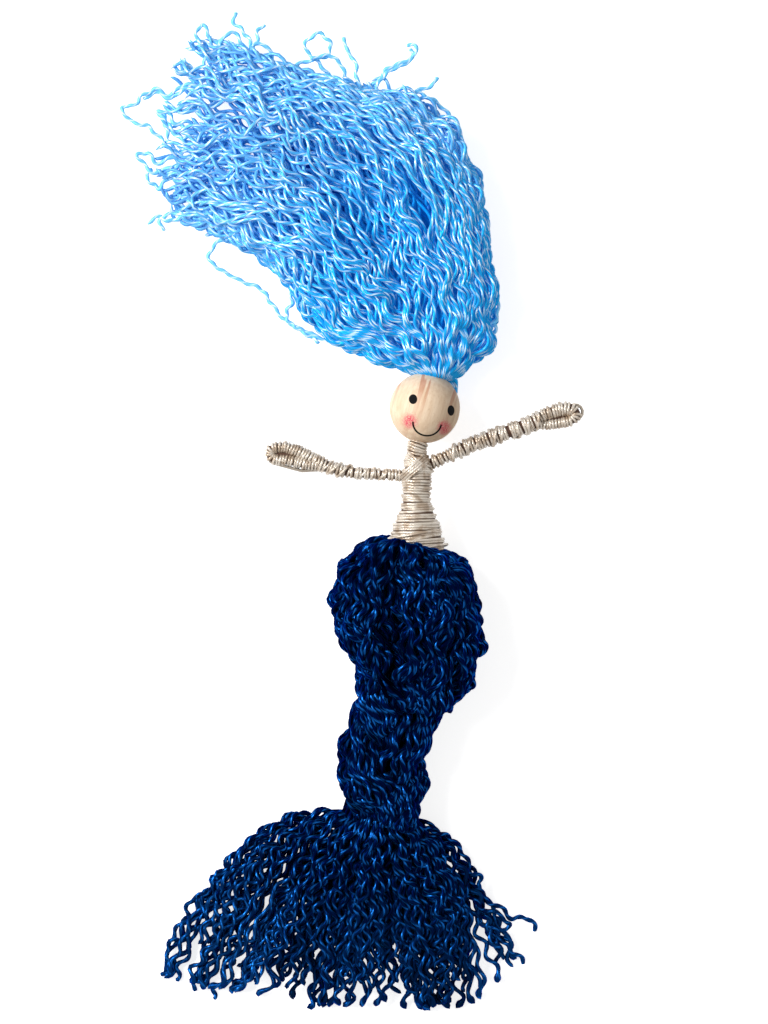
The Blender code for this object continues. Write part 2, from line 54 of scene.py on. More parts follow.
# Height of the wires above the table, and the joints along the body
AXIS = 10 * MM
HEAD = np.array((2.2, 57.9, 10.0)) * MM
HEAD_RADIUS = 10 * MM
HEAD_TILT = math.radians(16.5)
HEAD_UP = np.array((math.sin(HEAD_TILT), math.cos(HEAD_TILT), 0))
NECK = HEAD - HEAD_UP * 13.6 * MM
HAIR_EYE = HEAD + HEAD_UP * 13.2 * MM
HAIR_BEND = ("neck", "hair", tuple(HAIR_EYE - HEAD_UP * 3 * MM), tuple(HAIR_EYE + HEAD_UP * 9 * MM))
KNEE = np.array((-6.2, -25.0, 10.0)) * MM
ANKLE = np.array((-10.5, -57.0, 10.0)) * MM

# Sections of the cord and of the yarn, the length in which the yarn's plies turn once, and how far tips close
CORD_LAY = 1.6 * MM
CORD_SIDES = 8
YARN_LAY = 8.0 * MM
YARN_LOBES = 0.10
YARN_SIDES = 6
TIP = 0.05


# Curves


def plan(points):
    """Places in the photo's frame, in pixels, as metres on the table."""
    offset = np.asarray(points, float) - ORIGIN
    return np.stack([offset[..., 0] * PIXEL, -offset[..., 1] * PIXEL], -1)


def spline(knots, count, axis=0):
    """Catmull-Rom curve through the knots along one axis, at evenly spaced parameters."""
    knots = np.moveaxis(np.asarray(knots, float), axis, 0)
    padded = np.concatenate([2 * knots[:1] - knots[1:2], knots, 2 * knots[-1:] - knots[-2:-1]])
    place = np.linspace(0, len(knots) - 1, count)
    index = np.minimum(place.astype(int), len(knots) - 2)
    t = (place - index).reshape((-1,) + (1,) * (knots.ndim - 1))
    a, b, c, d = (padded[index + k] for k in range(4))
    curve = 0.5 * (2 * b + (c - a) * t + (2 * a - 5 * b + 4 * c - d) * t**2 + (3 * b - a - 3 * c + d) * t**3)
    return np.moveaxis(curve, 0, axis)


def smoothstep(low, high, value):
    """0 at low, 1 at high and smooth between; low may be the larger."""
    t = np.clip((value - low) / (high - low), 0, 1)
    return t * t * (3 - 2 * t)


def bell(value, middle, width):
    """1 at the middle, falling to 0 over about twice the width on both sides."""
    return np.exp(-(((value - middle) / width) ** 2))


def lengths(paths):
    """Distance along each path, in metres, at each of its points."""
    steps = np.linalg.norm(np.diff(paths, axis=1), axis=2)
    return np.concatenate([np.zeros((len(paths), 1)), np.cumsum(steps, axis=1)], axis=1)


def unit(vectors):
    return vectors / np.maximum(np.linalg.norm(vectors, axis=-1, keepdims=True), 1e-12)


class Fan:
    """A sheet of yarn guides: position at share u across the guides and share t along them."""

    def __init__(self, guides):
        self.grid = spline(spline(plan(guides), 241, axis=1), 81, axis=0)

    def at(self, u, t):
        """Straight between the grid's points. Past their ends the guides go on as their last steps run."""
        across, along = self.grid.shape[:2]
        x = np.clip(u, 0, 1) * (across - 1)
        y = np.clip(t, 0, 1) * (along - 1)
        i = np.minimum(x.astype(int), across - 2)
        j = np.minimum(y.astype(int), along - 2)
        f = (x - i)[..., None]
        g = (y - j)[..., None]
        grid = self.grid
        near = grid[i, j] * (1 - g) + grid[i, j + 1] * g
        far = grid[i + 1, j] * (1 - g) + grid[i + 1, j + 1] * g
        last = 12
        onward = (grid[i, -1] - grid[i, -1 - last]) * ((along - 1) / last)
        return near * (1 - f) + far * f + np.maximum(t - 1, 0)[..., None] * onward


def crimp(paths, wave, wavelength, easing, rng, lock=None, loose=1.0, lift=0.0):
    """Adds the yarn's crimp: wave * sin(phase) sideways and 0.6 * wave * cos(phase) upright along each path.

    The phase turns once in each wavelength and wanders a little. easing is the share of the wave at each
    point of a path, from 0 to 1. Strands with the same lock number wave together, as far apart as loose says,
    and a lock lies up to lift higher or lower than the next.
    """
    count = len(paths)
    lock = np.arange(count) if lock is None else lock
    many = lock.max() + 1
    along = lengths(paths)
    tangent = unit(np.gradient(paths, axis=1))
    side = unit(np.stack([-tangent[..., 1], tangent[..., 0], np.zeros(tangent.shape[:2])], -1))
    stretch = wavelength * rng.uniform(0.8, 1.25, (many, 1))[lock] * rng.uniform(0.95, 1.05, (count, 1))
    start = rng.uniform(0, 2 * math.pi, (many, 4))[lock] + loose * rng.normal(0, 1, (count, 4))
    wander = 0.55 * np.sin(2 * math.pi * along / (3.3 * stretch) + start[:, 1:2])
    phase = 2 * math.pi * along / stretch + start[:, :1] + wander
    size = wave * rng.uniform(0.65, 1.35, (count, 1)) * easing
    size = size * (1 + 0.3 * np.sin(2 * math.pi * along / (5.1 * stretch) + start[:, 2:3]))
    moved = paths + side * (size * np.sin(phase))[..., None]
    moved[..., 2] += 0.6 * size * np.cos(phase + start[:, 3:4])
    swell = np.sin(2 * math.pi * along / (4.2 * stretch) + rng.uniform(0, 2 * math.pi, (many, 1))[lock])
    moved[..., 2] += lift * easing * (0.6 * rng.uniform(-1, 1, (many, 1))[lock] + 0.4 * swell)
    return moved


# Meshes


def make_object(name, vertices, faces, material, uv=None, **marks):
    """A mesh object from arrays: corners, four-cornered faces, loop UVs and per-corner marks."""
    vertices = vertices.reshape(-1, 3)
    faces = faces.reshape(-1, 4)
    mesh = bpy.data.meshes.new(name)
    mesh.vertices.add(len(vertices))
    mesh.vertices.foreach_set("co", vertices.astype(np.float32).ravel())
    mesh.loops.add(faces.size)
    mesh.loops.foreach_set("vertex_index", faces.astype(np.int32).ravel())
    mesh.polygons.add(len(faces))
    mesh.polygons.foreach_set("loop_start", np.arange(0, faces.size, 4, dtype=np.int32))
    mesh.update(calc_edges=True)
    mesh.polygons.foreach_set("use_smooth", np.full(len(faces), True))
    if uv is not None:
        layer = mesh.uv_layers.new(name="yarn")
        layer.uv.foreach_set("vector", uv.reshape(-1, 2).astype(np.float32).ravel())
    for mark, values in marks.items():
        attribute = mesh.attributes.new(mark, "FLOAT", "POINT")
        attribute.data.foreach_set("value", values.astype(np.float32).ravel())
    mesh.materials.append(material)
    item = bpy.data.objects.new(name, mesh)
    bpy.context.scene.collection.objects.link(item)
    return item


def grid_faces(rows, columns, closed):
    """Faces between neighbouring rows of points, joined round the columns if they are closed."""
    row = np.arange(rows - 1)[:, None]
    column = np.arange(columns if closed else columns - 1)[None]
    right = (column + 1) % columns
    a = row * columns + column
    b = row * columns + right
    return np.stack([a, b, b + columns, a + columns], -1)


def surface(name, points, material, closed=False):
    """A skin over a grid of points, rows by columns."""
    rows, columns = points.shape[:2]
    return make_object(name, points, grid_faces(rows, columns, closed), material)


def tubes(name, paths, radius, sides, material, lobes, lay, rng, outward=None, tone=None):
    """Yarn along paths: each section is a circle with two lobes, and the lobes turn once in each lay.

    A section's radius is radius * (1 + lobes * cos(2 * (angle - 2 pi * distance / lay))). Both ends close.
    The first side faces across outward, or across straight up. The last argument gives each strand's
    lightness, from 0 to 1: its own random lightness, and painted shade where a caller darkens deeper strands.
    """
    count, steps = paths.shape[:2]
    tangent = unit(np.gradient(paths, axis=1))
    upright = np.array((0.0, 0.0, 1.0)) if outward is None else outward
    side = unit(np.cross(tangent, np.broadcast_to(upright, tangent.shape)))
    normal = np.cross(side, tangent)
    along = lengths(paths)
    angle = np.linspace(0, 2 * math.pi, sides, endpoint=False)
    lobe = 1 + lobes * np.cos(2 * (angle - 2 * math.pi * along[..., None] / lay))
    size = np.broadcast_to(radius, (count, steps)).copy()
    size[:, [0, -1]] *= TIP
    reach = size[..., None] * lobe
    ring = np.cos(angle)[:, None] * side[:, :, None] + np.sin(angle)[:, None] * normal[:, :, None]
    points = paths[:, :, None] + reach[..., None] * ring
    faces = grid_faces(steps, sides, True)[None] + (np.arange(count) * steps * sides)[:, None, None, None]
    turn = np.linspace(0, 1, sides + 1)
    u = np.broadcast_to(along[:, :, None] / lay, (count, steps, sides + 1))
    v = np.broadcast_to(turn, u.shape)
    corner = np.stack([u, v], -1)
    uv = np.stack([corner[:, :-1, :-1], corner[:, :-1, 1:], corner[:, 1:, 1:], corner[:, 1:, :-1]], 3)
    tone = rng.uniform(0, 1, count) if tone is None else tone
    tone = np.broadcast_to(tone[:, None, None], (count, steps, sides))
    share = np.broadcast_to((along / along[:, -1:])[..., None], (count, steps, sides))
    return make_object(name, points, faces, material, uv, tone=tone, share=share)


def yarn(name, paths, radius, material, rng, tone=None, lay=YARN_LAY):
    """Plied yarn along paths."""
    return tubes(name, paths, radius, YARN_SIDES, material, YARN_LOBES, lay, rng, tone=tone)


def place(item, slot, body, *stands_for):
    """Puts a piece on a body, or leaves it where it lies when it spans the bend between two, in place of the
    solids that it stands for.
    """
    if isinstance(body, str):
        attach(item, body)
    else:
        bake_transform(item)
    if stands_for:
        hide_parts(*stands_for)


# Materials


class Socket:
    """A shader value that can be used in sums and products with other values and numbers."""

    def __init__(self, nodes, output):
        self.nodes = nodes
        self.output = output

    def math(self, operation, *others):
        return self.nodes.node("ShaderNodeMath", 0, (self, *others), operation=operation)

    def __add__(self, other):
        return self.math("ADD", other)

    def __sub__(self, other):
        return self.math("SUBTRACT", other)

    def __mul__(self, other):
        return self.math("MULTIPLY", other)

    def __truediv__(self, other):
        return self.math("DIVIDE", other)

    def __rsub__(self, other):
        return self.math("MULTIPLY", -1) + other

    __radd__ = __add__
    __rmul__ = __mul__

    def ease(self, low, high):
        """0 below low, 1 above high and smooth between; low may be the larger."""
        values = (self, low, high, 0.0, 1.0)
        return self.nodes.node("ShaderNodeMapRange", 0, values, interpolation_type="SMOOTHSTEP")


class Nodes:
    """A tree of shader nodes."""

    def __init__(self, tree):
        self.tree = tree

    def node(self, kind, output, values=(), **settings):
        """A new node's output, or outputs if several are named. A value of None leaves an input as it is."""
        made = self.tree.nodes.new(kind)
        for key, value in settings.items():
            setattr(made, key, value)
        for slot, value in enumerate(values):
            self.feed(made.inputs[slot], value)
        if isinstance(output, tuple):
            return tuple(Socket(self, made.outputs[name]) for name in output)
        return Socket(self, made.outputs[output])

    def feed(self, entry, value):
        if isinstance(value, Socket):
            self.tree.links.new(value.output, entry)
        elif value is not None:
            entry.default_value = value

    def mark(self, name):
        return self.node("ShaderNodeAttribute", "Fac", attribute_name=name)

    def noise(self, where, scale, detail=2.0):
        return self.node("ShaderNodeTexNoise", 0, (where, None, scale, detail))

    def split(self, vector):
        return self.node("ShaderNodeSeparateXYZ", ("X", "Y", "Z"), (vector,))

    def joined(self, x, y, z):
        return self.node("ShaderNodeCombineXYZ", 0, (x, y, z))

    def blend(self, share, first, second):
        """The first colour at share 0 and the second at share 1."""
        inputs = (share, None, None, None, None, None, first, second)
        return self.node("ShaderNodeMix", 2, inputs, data_type="RGBA")

    def bump(self, height, strength, distance):
        return self.node("ShaderNodeBump", 0, (strength, distance, None, height))


class Paint(Nodes):
    """A material with one Principled shader and the nodes that feed it."""

    def __init__(self, name, roughness, specular=0.5, gleam=(1, 1, 1, 1)):
        self.material = bpy.data.materials.new(name)
        self.material.use_nodes = True
        super().__init__(self.material.node_tree)
        self.shader = self.tree.nodes["Principled BSDF"]
        self.set("Roughness", roughness)
        self.set("Specular IOR Level", specular)
        self.set("Specular Tint", gleam)

    def set(self, name, value):
        self.feed(self.shader.inputs[name], value)


def rgb(red, green, blue):
    """An sRGB colour out of 255 as a linear one."""
    shares = np.array((red, green, blue)) / 255
    linear = np.where(shares <= 0.04045, shares / 12.92, ((shares + 0.055) / 1.055) ** 2.4)
    return (*linear.tolist(), 1.0)


def yarn_paint(name, dark, middle, light, edge, roughness, satin, fuzz, twist, glow, fading):
    """Two plies twisted together, each with a painted highlight streak along its crest, and each strand its
    own lightness, which carries painted shade.

    satin is how much of the light the fibre reflects in its own colour. fuzz is how much the fine hairs on
    the yarn light up its edges, in the colour edge, and twist how bright the painted highlight on the crests
    is. The emission strength is how much the yarn shines in its dark colour, painted light that fills its
    shade, and the last argument how much lighter a strand grows towards its end.
    """
    paint = Paint(name, roughness, 0.0, edge)
    paint.set("Metallic", satin)
    paint.set("Sheen Weight", fuzz)
    paint.set("Sheen Roughness", 0.3)
    paint.set("Sheen Tint", edge)
    along, around, _ = paint.split(paint.node("ShaderNodeUVMap", 0, uv_map="yarn"))
    ply = ((around - along) * (4 * math.pi)).math("COSINE") * 0.5 + 0.5
    fibre = ((around * 9.0 - along * 7.0) * (2 * math.pi)).math("SINE") * 0.5 + 0.5
    where = paint.node("ShaderNodeTexCoord", "Object")
    patch = paint.noise(where, 160.0)
    broad = paint.noise(where, 48.0)
    # The strand mark carries each strand's random lightness and the painted shade of deeper strands; the
    # noises add random lighter and darker patches.
    tone = paint.mark("tone") * 0.5 + patch * 0.5 + (broad - 0.5) * 0.9
    colour = paint.blend(tone.ease(0.15, 0.6), dark, middle)
    # Strands grow lighter towards their ends.
    colour = paint.blend(paint.mark("share").ease(0.35, 1.0) * fading, colour, light)
    # Painted highlight: a light streak along each ply's crest, brightest on lighter strands.
    crest = (ply + fibre * 0.25).ease(0.82, 1.14)
    colour = paint.blend(crest * tone.ease(0.32, 0.78) * twist, colour, light)
    paint.set("Base Color", colour)
    # The yarn emits its own dark colour: painted light that fills the shade between strands with colour.
    paint.set("Emission Color", dark)
    paint.set("Emission Strength", glow)
    paint.set("Normal", paint.bump(ply + fibre * 0.25, 0.2, 0.25 * MM))
    return paint.material


def cord_paint():
    """A shiny cord of fine filaments, browner in patches here and there, with painted shade in the grooves
    between the filaments.
    """
    paint = Paint("satin_cord_look", 0.24, 0.9)
    paint.set("Metallic", 0.35)
    along, around, _ = paint.split(paint.node("ShaderNodeUVMap", 0, uv_map="yarn"))
    filament = ((around * 7.0 - along * 2.0) * (2 * math.pi)).math("SINE") * 0.5 + 0.5
    where = paint.node("ShaderNodeTexCoord", "Object")
    patch = paint.noise(where, 420.0, 3.0)
    colour = paint.blend(patch.ease(0.34, 0.60), rgb(178, 158, 136), rgb(226, 216, 202))
    # Painted shade: the grooves between filaments are darker.
    colour = paint.blend(filament.ease(0.35, 0.0) * 0.45, colour, rgb(150, 126, 100))
    paint.set("Base Color", colour)
    paint.set("Normal", paint.bump(filament, 0.5, 0.12 * MM))
    return paint.material


def plain_paint(name, colour, roughness, metallic=0.0, specular=0.5):
    """One even colour."""
    paint = Paint(name, roughness, specular)
    paint.set("Base Color", colour)
    paint.set("Metallic", metallic)
    return paint.material


# The face from above, in bead radii from the bead's middle: places, then half widths
CHEEKS = ((-0.428, -0.39), (0.545, -0.575))
EYES = ((-0.336, 0.23, 0.118, 0.138), (0.7365, -0.085, 0.099, 0.146))
SMILE = (0.062, -0.435, 0.40, 0.362)


def oval(x, y, middle_x, middle_y, half_x, half_y):
    """Squared distance from an oval's middle: 1 on the oval."""
    return ((x - middle_x) / half_x).math("POWER", 2.0) + ((y - middle_y) / half_y).math("POWER", 2.0)


def bead_paint():
    """Sanded pale wood with the grain along the bore, and a face inked on from above."""
    paint = Paint("bead_look", 0.5, 0.1)
    where = paint.node("ShaderNodeTexCoord", "Object")
    local = paint.node("ShaderNodeVectorMath", 0, (where, tuple(HEAD)), operation="SUBTRACT")
    local = paint.node("ShaderNodeVectorMath", 0, (local, (1 / HEAD_RADIUS,) * 3), operation="MULTIPLY")
    x, y, z = paint.split(local)
    cross = x * math.cos(HEAD_TILT) - y * math.sin(HEAD_TILT)
    rise = x * math.sin(HEAD_TILT) + y * math.cos(HEAD_TILT)
    grain = paint.noise(paint.joined(cross * 9.0, rise * 0.9, z * 9.0), 1.0, 4.0)
    fine = paint.noise(paint.joined(cross * 34.0, rise * 2.2, z * 34.0), 1.0, 3.0)
    streak = paint.noise(paint.joined(cross * 7.0 + 3.7, rise * 0.25, z * 0.6), 1.0, 1.0)
    fleck = paint.noise(paint.joined(cross * 60.0, rise * 7.0, z * 60.0), 1.0, 1.0)
    colour = paint.blend(grain.ease(0.25, 0.75), rgb(226, 196, 164), rgb(240, 216, 188))
    colour = paint.blend(fine.ease(0.52, 0.75) * 0.22, colour, rgb(196, 150, 110))
    upper = rise.ease(-0.3, 0.9) * 0.6 + 0.12
    colour = paint.blend(streak.ease(0.56, 0.66) * upper, colour, rgb(190, 118, 88))
    colour = paint.blend(fleck.ease(0.70, 0.76) * 0.5, colour, rgb(158, 104, 66))

    front = z.ease(0.15, 0.3)
    stipple = paint.noise(paint.joined(x * 30.0, y * 30.0, z * 30.0), 1.0, 3.0)
    for middle in CHEEKS:
        spot = oval(x, y, *middle, 1.0, 1.0).math("SQRT")
        cheek = (spot + stipple * 0.5 - 0.25).ease(0.25, 0.15) * front
        colour = paint.blend(cheek * (stipple.ease(0.42, 0.56) * 0.62 + 0.3), colour, rgb(224, 50, 92))
    left_eye, right_eye = (oval(x, y, *eye).ease(1.12, 0.92) for eye in EYES)
    arc = oval(x, y, *SMILE).math("SQRT")
    lip = (arc - 1.0).math("ABSOLUTE").ease(0.085, 0.045)
    lower = (y + 0.455 + (x - SMILE[0]) * 0.10).ease(0.03, -0.01)
    ink = left_eye.math("MAXIMUM", right_eye).math("MAXIMUM", lip * lower) * front
    paint.set("Base Color", paint.blend(ink, colour, rgb(4, 4, 5)))
    paint.set("Roughness", 0.5 + ink * 0.2)
    paint.set("Normal", paint.bump(fine * 0.5 + fleck * 0.5, 0.12, 0.2 * MM))
    return paint.material


def navy_paint(name, fading=0.0):
    """The dark yarn of the hips, the plait and the fin."""
    dark, middle, light, edge = rgb(0, 0, 6), rgb(0, 10, 47), rgb(30, 116, 208), (0.0, 0.25, 0.8, 1)
    # For the navy yarn, twist sets how bright the painted highlight along the crests is.
    look = {"roughness": 0.31, "satin": 0.7, "fuzz": 0.2, "twist": 0.52, "glow": 0.0}
    return yarn_paint(name, dark, middle, light, edge, fading=fading, **look)


def sky_paint(name, dark, middle, light, fading=0.0):
    """The light yarn of the hair."""
    edge = (0.5, 0.93, 1.0, 1)
    # For the hair, twist sets how bright the painted highlight along the crests is, and the emission fills
    # its shade with its dark colour as painted light.
    look = {"roughness": 0.3, "satin": 0.2, "fuzz": 0.2, "twist": 1.0, "glow": 0.14}
    return yarn_paint(name, dark, middle, light, edge, fading=fading, **look)


NAVY = navy_paint("navy_yarn_look")
NAVY_FIN = navy_paint("fin_yarn_look", 0.05)
NAVY_SIDES = navy_paint("fin_side_look", 0.13)
SKY = sky_paint("sky_yarn_look", rgb(0, 126, 210), rgb(34, 162, 228), rgb(226, 243, 255), 0.16)
SKY_PALE = sky_paint("pale_yarn_look", rgb(66, 166, 236), rgb(122, 202, 248), rgb(232, 246, 255))
CORD = cord_paint()
BROWN = plain_paint("cord_under", rgb(74, 46, 28), 0.7)
# The cores stand for inner yarn, coloured darker than the yarn over them: painted shade in the gaps between
# strands.
NAVY_CORE_SHADE = plain_paint("navy_core", rgb(0, 2, 12), 0.9, specular=0.0)
SKY_CORE_SHADE = plain_paint("sky_core", rgb(0, 104, 192), 0.9, specular=0.0)
STEEL = plain_paint("wire_look", rgb(150, 140, 128), 0.4, metallic=1.0)


# Head


def add_head():
    """The bead: a sphere turned about its bore, whose wall runs back up inside."""
    bore = 2.2 * MM
    start = math.asin(bore / HEAD_RADIUS)
    polar = np.linspace(start, math.pi - start, 96)
    radius = HEAD_RADIUS * np.sin(polar)
    rise = HEAD_RADIUS * np.cos(polar)
    wall = np.linspace(rise[-1], rise[0], 12)[1:]
    radius = np.concatenate([radius, np.full(len(wall), bore)])
    rise = np.concatenate([rise, wall])
    turn = np.linspace(0, 2 * math.pi, 128, endpoint=False)
    across = np.array((HEAD_UP[1], -HEAD_UP[0], 0))
    ring = np.cos(turn)[:, None] * across + np.sin(turn)[:, None] * np.array((0, 0, 1.0))
    points = HEAD + rise[:, None, None] * HEAD_UP + radius[:, None, None] * ring
    place(surface("head_skin", points[:, ::-1], bead_paint(), closed=True), "wood_bead", "head", "head_bead")


# Cord windings


TURN_STEPS = 26
SLIP_STEPS = 13


def wind(path, radius, pitch, rng, tilt, jitter):
    """A helix round a path, and the way out from the path at each of the helix's points.

    A point is path + radius * (side * cos(angle) + up * sin(angle)), with one turn in each pitch. tilt slants
    the turns, and jitter is how unevenly they lie, as a share of the pitch.
    """
    along = lengths(path[None])[0]
    turns = along[-1] / pitch
    count = int(turns * TURN_STEPS)
    share = np.linspace(0, along[-1], count)
    angle = 2 * math.pi * turns * np.linspace(0, 1, count)
    knots = np.arange(0, count + SLIP_STEPS, SLIP_STEPS)
    slip = np.interp(np.arange(count), knots, rng.normal(0, 1, count // SLIP_STEPS + 2)[: len(knots)])
    where = share + tilt * np.cos(angle) * np.interp(share, along, radius)
    where = np.clip(where + jitter * pitch * slip, 0, along[-1])
    centre = np.stack([np.interp(where, along, path[:, k]) for k in range(3)], 1)
    reach = np.interp(where, along, radius) * (1 + 0.35 * jitter * slip)
    tangent = unit(np.gradient(path, axis=0))
    tangent = unit(np.stack([np.interp(where, along, tangent[:, k]) for k in range(3)], 1))
    side = unit(np.stack([tangent[:, 1], -tangent[:, 0], np.zeros(count)], 1))
    up = np.cross(side, tangent)
    out = side * np.cos(angle)[:, None] + up * np.sin(angle)[:, None]
    return centre + out * reach[:, None], unit(out)


def add_winding(name, path, radius, pitch, thickness, body, stands_for=(), *, seed, tilt, jitter):
    """Cord wound round a path, a little thicker and thinner by turns."""
    rng = np.random.default_rng(seed)
    points, out = wind(path, radius, pitch, rng, tilt, jitter)
    swell = thickness / 2 * (1 + 0.12 * np.sin(np.linspace(0, len(points) / 9, len(points)) + seed))
    item = tubes(name, points[None], swell[None], CORD_SIDES, CORD, 0.0, CORD_LAY, rng, out[None])
    place(item, "satin_cord", body, *stands_for)


def core(name, path, radius, body, material=BROWN, slot="padding", stands_for=(), squash=1.0):
    """A plain round skin along a path, under a winding; squash is its height as a share of its width."""
    tangent = unit(np.gradient(path, axis=0))
    side = unit(np.stack([tangent[:, 1], -tangent[:, 0], np.zeros(len(path))], 1))
    up = np.cross(side, tangent) * squash
    turn = np.linspace(0, 2 * math.pi, 20, endpoint=False)
    reach = np.broadcast_to(radius, len(path)).copy()
    reach[[0, -1]] *= TIP
    ring = np.cos(turn)[:, None] * side[:, None] + np.sin(turn)[:, None] * up[:, None]
    points = path[:, None] + reach[:, None, None] * ring
    place(surface(name, points, material, closed=True), slot, body, *stands_for)


def level(points, height=AXIS):
    """Points on the table, lifted to one height."""
    flat = np.asarray(points, float)
    return np.concatenate([flat, np.full((len(flat), 1), height)], 1)


# Row, middle and half width of the neck and the torso, in pixels
TORSO_ROWS = np.array([
    (438, 416, 10.2), (444, 416, 10.6), (451, 416, 11.2), (458, 416.5, 12.6), (467, 417, 14.6),
    (480, 417, 15.4), (490, 416.5, 14.6), (503, 416, 15.2), (513, 416.5, 19.2), (525, 416.5, 23.2),
    (536, 416.5, 26.6), (550, 417, 29.2), (570, 417, 30),
])


def down_rows(rows, count):
    """Rows along a curve, the path down their middles and the radius there."""
    row, middle, half = spline(rows, count).T
    return row, level(plan(np.stack([middle, row], 1))), half * PIXEL


def add_torso():
    """Cord wound from the neck down to the waist, over a brown core."""
    thick = 0.82 * MM
    under = thick * 0.8
    _, path, radius = down_rows(TORSO_ROWS[3:], 90)
    covered = ("torso_padding", "torso_wrap", "chest_band_under", "chest_band_over", "waist_tie")
    core("torso_core", path, radius - under, "torso", stands_for=covered)
    reach = radius - thick / 2
    add_winding("torso_cord", path, reach, 0.80 * MM, thick, "torso", seed=3, tilt=0.05, jitter=0.16)
    flare = slice(52, None)
    path, reach = path[flare], radius[flare] - thick * 0.35
    add_winding("torso_cord_low", path, reach, 2.1 * MM, thick, "torso", seed=5, tilt=0.22, jitter=0.2)

    row, path, radius = down_rows(TORSO_ROWS[:5], 40)
    upright_row, leaning_row, sideways = 455, 440, 0.6 * MM
    lean = smoothstep(upright_row, leaning_row, row)[:, None]
    path = path + lean * np.array((sideways, 0, 0))
    bend = ("torso", "neck", tuple(NECK - (0, 2.5 * MM, 0)), tuple(NECK + (0, 2.0 * MM, 0)))
    core("neck_core", path, radius - under, bend)
    reach = radius - thick / 2
    covered = ("neck_wrap",)
    add_winding("neck_cord", path, reach, 0.9 * MM, thick, bend, covered, seed=9, tilt=-0.12, jitter=0.15)


# Each chest band's ends in pixels, its number of cords, how far it lies out and its seed
CHEST_BANDS = {
    "chest_band_low": ((407, 455), (430, 474), 3, 0.1 * MM, 61),
    "chest_band_high": ((427, 457), (402, 479.5), 4, 0.6 * MM, 63),
}


def add_chest_band(name, start, end, strands, lift, seed):
    """Cords side by side that cross the chest from one point to another and go on round the back.

    A cord's place is middle - half * cos(angle) on the table, at a height of AXIS + reach * sin(angle).
    """
    rng = np.random.default_rng(seed)
    apart, thick, bulge = 0.70 * MM, 0.82 * MM, 4.35 * MM
    start, end = plan(start), plan(end)
    turn = np.linspace(-0.28 * math.pi, 1.28 * math.pi, 90)
    share = 0.5 - 0.5 * np.cos(np.clip(turn, 0, math.pi))
    middle = (start + end) / 2
    half = (end - start) / 2
    across = unit(np.array((-half[1], half[0])))
    order = np.arange(strands)[:, None]
    offset = order - (strands - 1) / 2
    shift = offset * apart + 0.05 * MM * np.sin(3 * share + order)
    flat = middle - half * np.cos(turn)[:, None] + across * shift[..., None]
    height = AXIS + (bulge + lift - 0.10 * np.abs(offset) * MM) * np.sin(turn)
    paths = np.concatenate([flat, height[..., None]], 2)
    out = unit(paths - np.append(middle, AXIS))
    place(tubes(name, paths, thick / 2, CORD_SIDES, CORD, 0.0, CORD_LAY, rng, out), "satin_cord", "torso")


# Each arm's shoulder in millimetres, and in pixels its line, half widths, hand loop and the line of the dark
# piece in the hand's slit, which is painted shade
ARMS = {
    "left": {
        "pivot": (-4.1, 38.6),
        "line": [(404, 475.5), (398, 475.5), (380, 474), (362, 473.5), (345, 471), (330, 467), (318, 463)],
        "girth": [7.0, 6.4, 5.8, 6.2, 6.6, 7.0, 8.4],
        "hand": [
            (322, 463), (308, 456), (298, 451), (287, 447.5), (278, 447), (271.5, 449), (269.5, 453.5),
            (272, 458.5), (279, 460), (290, 461), (300, 463), (310, 464.5), (322, 465),
        ],
        "grip": [5, 5.4, 5.2, 4.8, 4.6, 4.2, 4.0, 4.2, 4.4, 4.6, 5, 5, 5],
        "palm": [(275, 454), (288, 455), (298, 457)],
        "seed": 70,
    },
    "right": {
        "pivot": (4.0, 41.7),
        "line": [
            (426, 466), (432, 463), (447, 456), (462, 449), (480, 441.5), (500, 434.5), (520, 427.5),
            (540, 419.5),
        ],
        "girth": [7.0, 7.0, 6.4, 7.4, 8.0, 8.2, 8.0, 9.4],
        "hand": [
            (534, 421), (543, 415), (553, 411.5), (563, 409), (571, 409.5), (575.5, 414),
            (573, 419.5), (566, 422), (555, 424), (546, 425), (534, 423),
        ],
        "grip": [5, 5.2, 5.6, 6.4, 6.2, 5.6, 4.6, 4.2, 4.0, 4.0, 4.2],
        "palm": [(546, 419.5), (558, 417), (570, 415)],
        "seed": 80,
    },
}


def add_arm(name, size):
    """Cord wound on the arm and on both branches of the looped hand.

    The cord on the arm has a second, wider layer that starts clear of the shoulder.
    """
    thick = 0.85 * MM
    seed = size["seed"]
    body = f"{name}_arm"
    steps = 80
    path = level(plan(spline(size["line"], steps)))
    girth = spline(size["girth"], steps) * 1.06 * PIXEL
    pivot = np.append(np.array(size["pivot"]) * MM, AXIS)
    away = unit(path[-1] - path[0])
    bend = ("torso", body, tuple(pivot - away * 2.5 * MM), tuple(pivot + away * 4.5 * MM))
    core(f"{name}_arm_core", path, girth - thick * 0.8, bend)
    covered = (f"{name}_arm_wrap",)
    reach = girth - thick * 0.55
    cord = f"{name}_arm_cord"
    add_winding(cord, path, reach, 0.98 * MM, thick, bend, covered, seed=seed, tilt=0.10, jitter=0.25)
    clear = slice(22, None)
    path, reach = path[clear], girth[clear] - thick * 0.2
    cord = f"{name}_arm_cord_over"
    add_winding(cord, path, reach, 3.4 * MM, thick, body, seed=seed + 2, tilt=-0.35, jitter=0.3)

    steps = 120
    loop = level(plan(spline(size["hand"], steps)))
    grip = spline(size["grip"], steps) * PIXEL
    core(f"{name}_hand_core", loop, grip - thick * 0.25, body)
    # A dark brown piece along the hand's slit: painted shade inside the loop.
    core(f"{name}_palm", level(plan(spline(size["palm"], 20))), 2.6 * PIXEL, body, squash=0.6)
    covered = (f"{name}_hand_wrap",)
    cord = f"{name}_hand_cord"
    add_winding(cord, loop, grip, 0.86 * MM, thick, body, covered, seed=seed + 1, tilt=0.05, jitter=0.2)


# Yarn masses


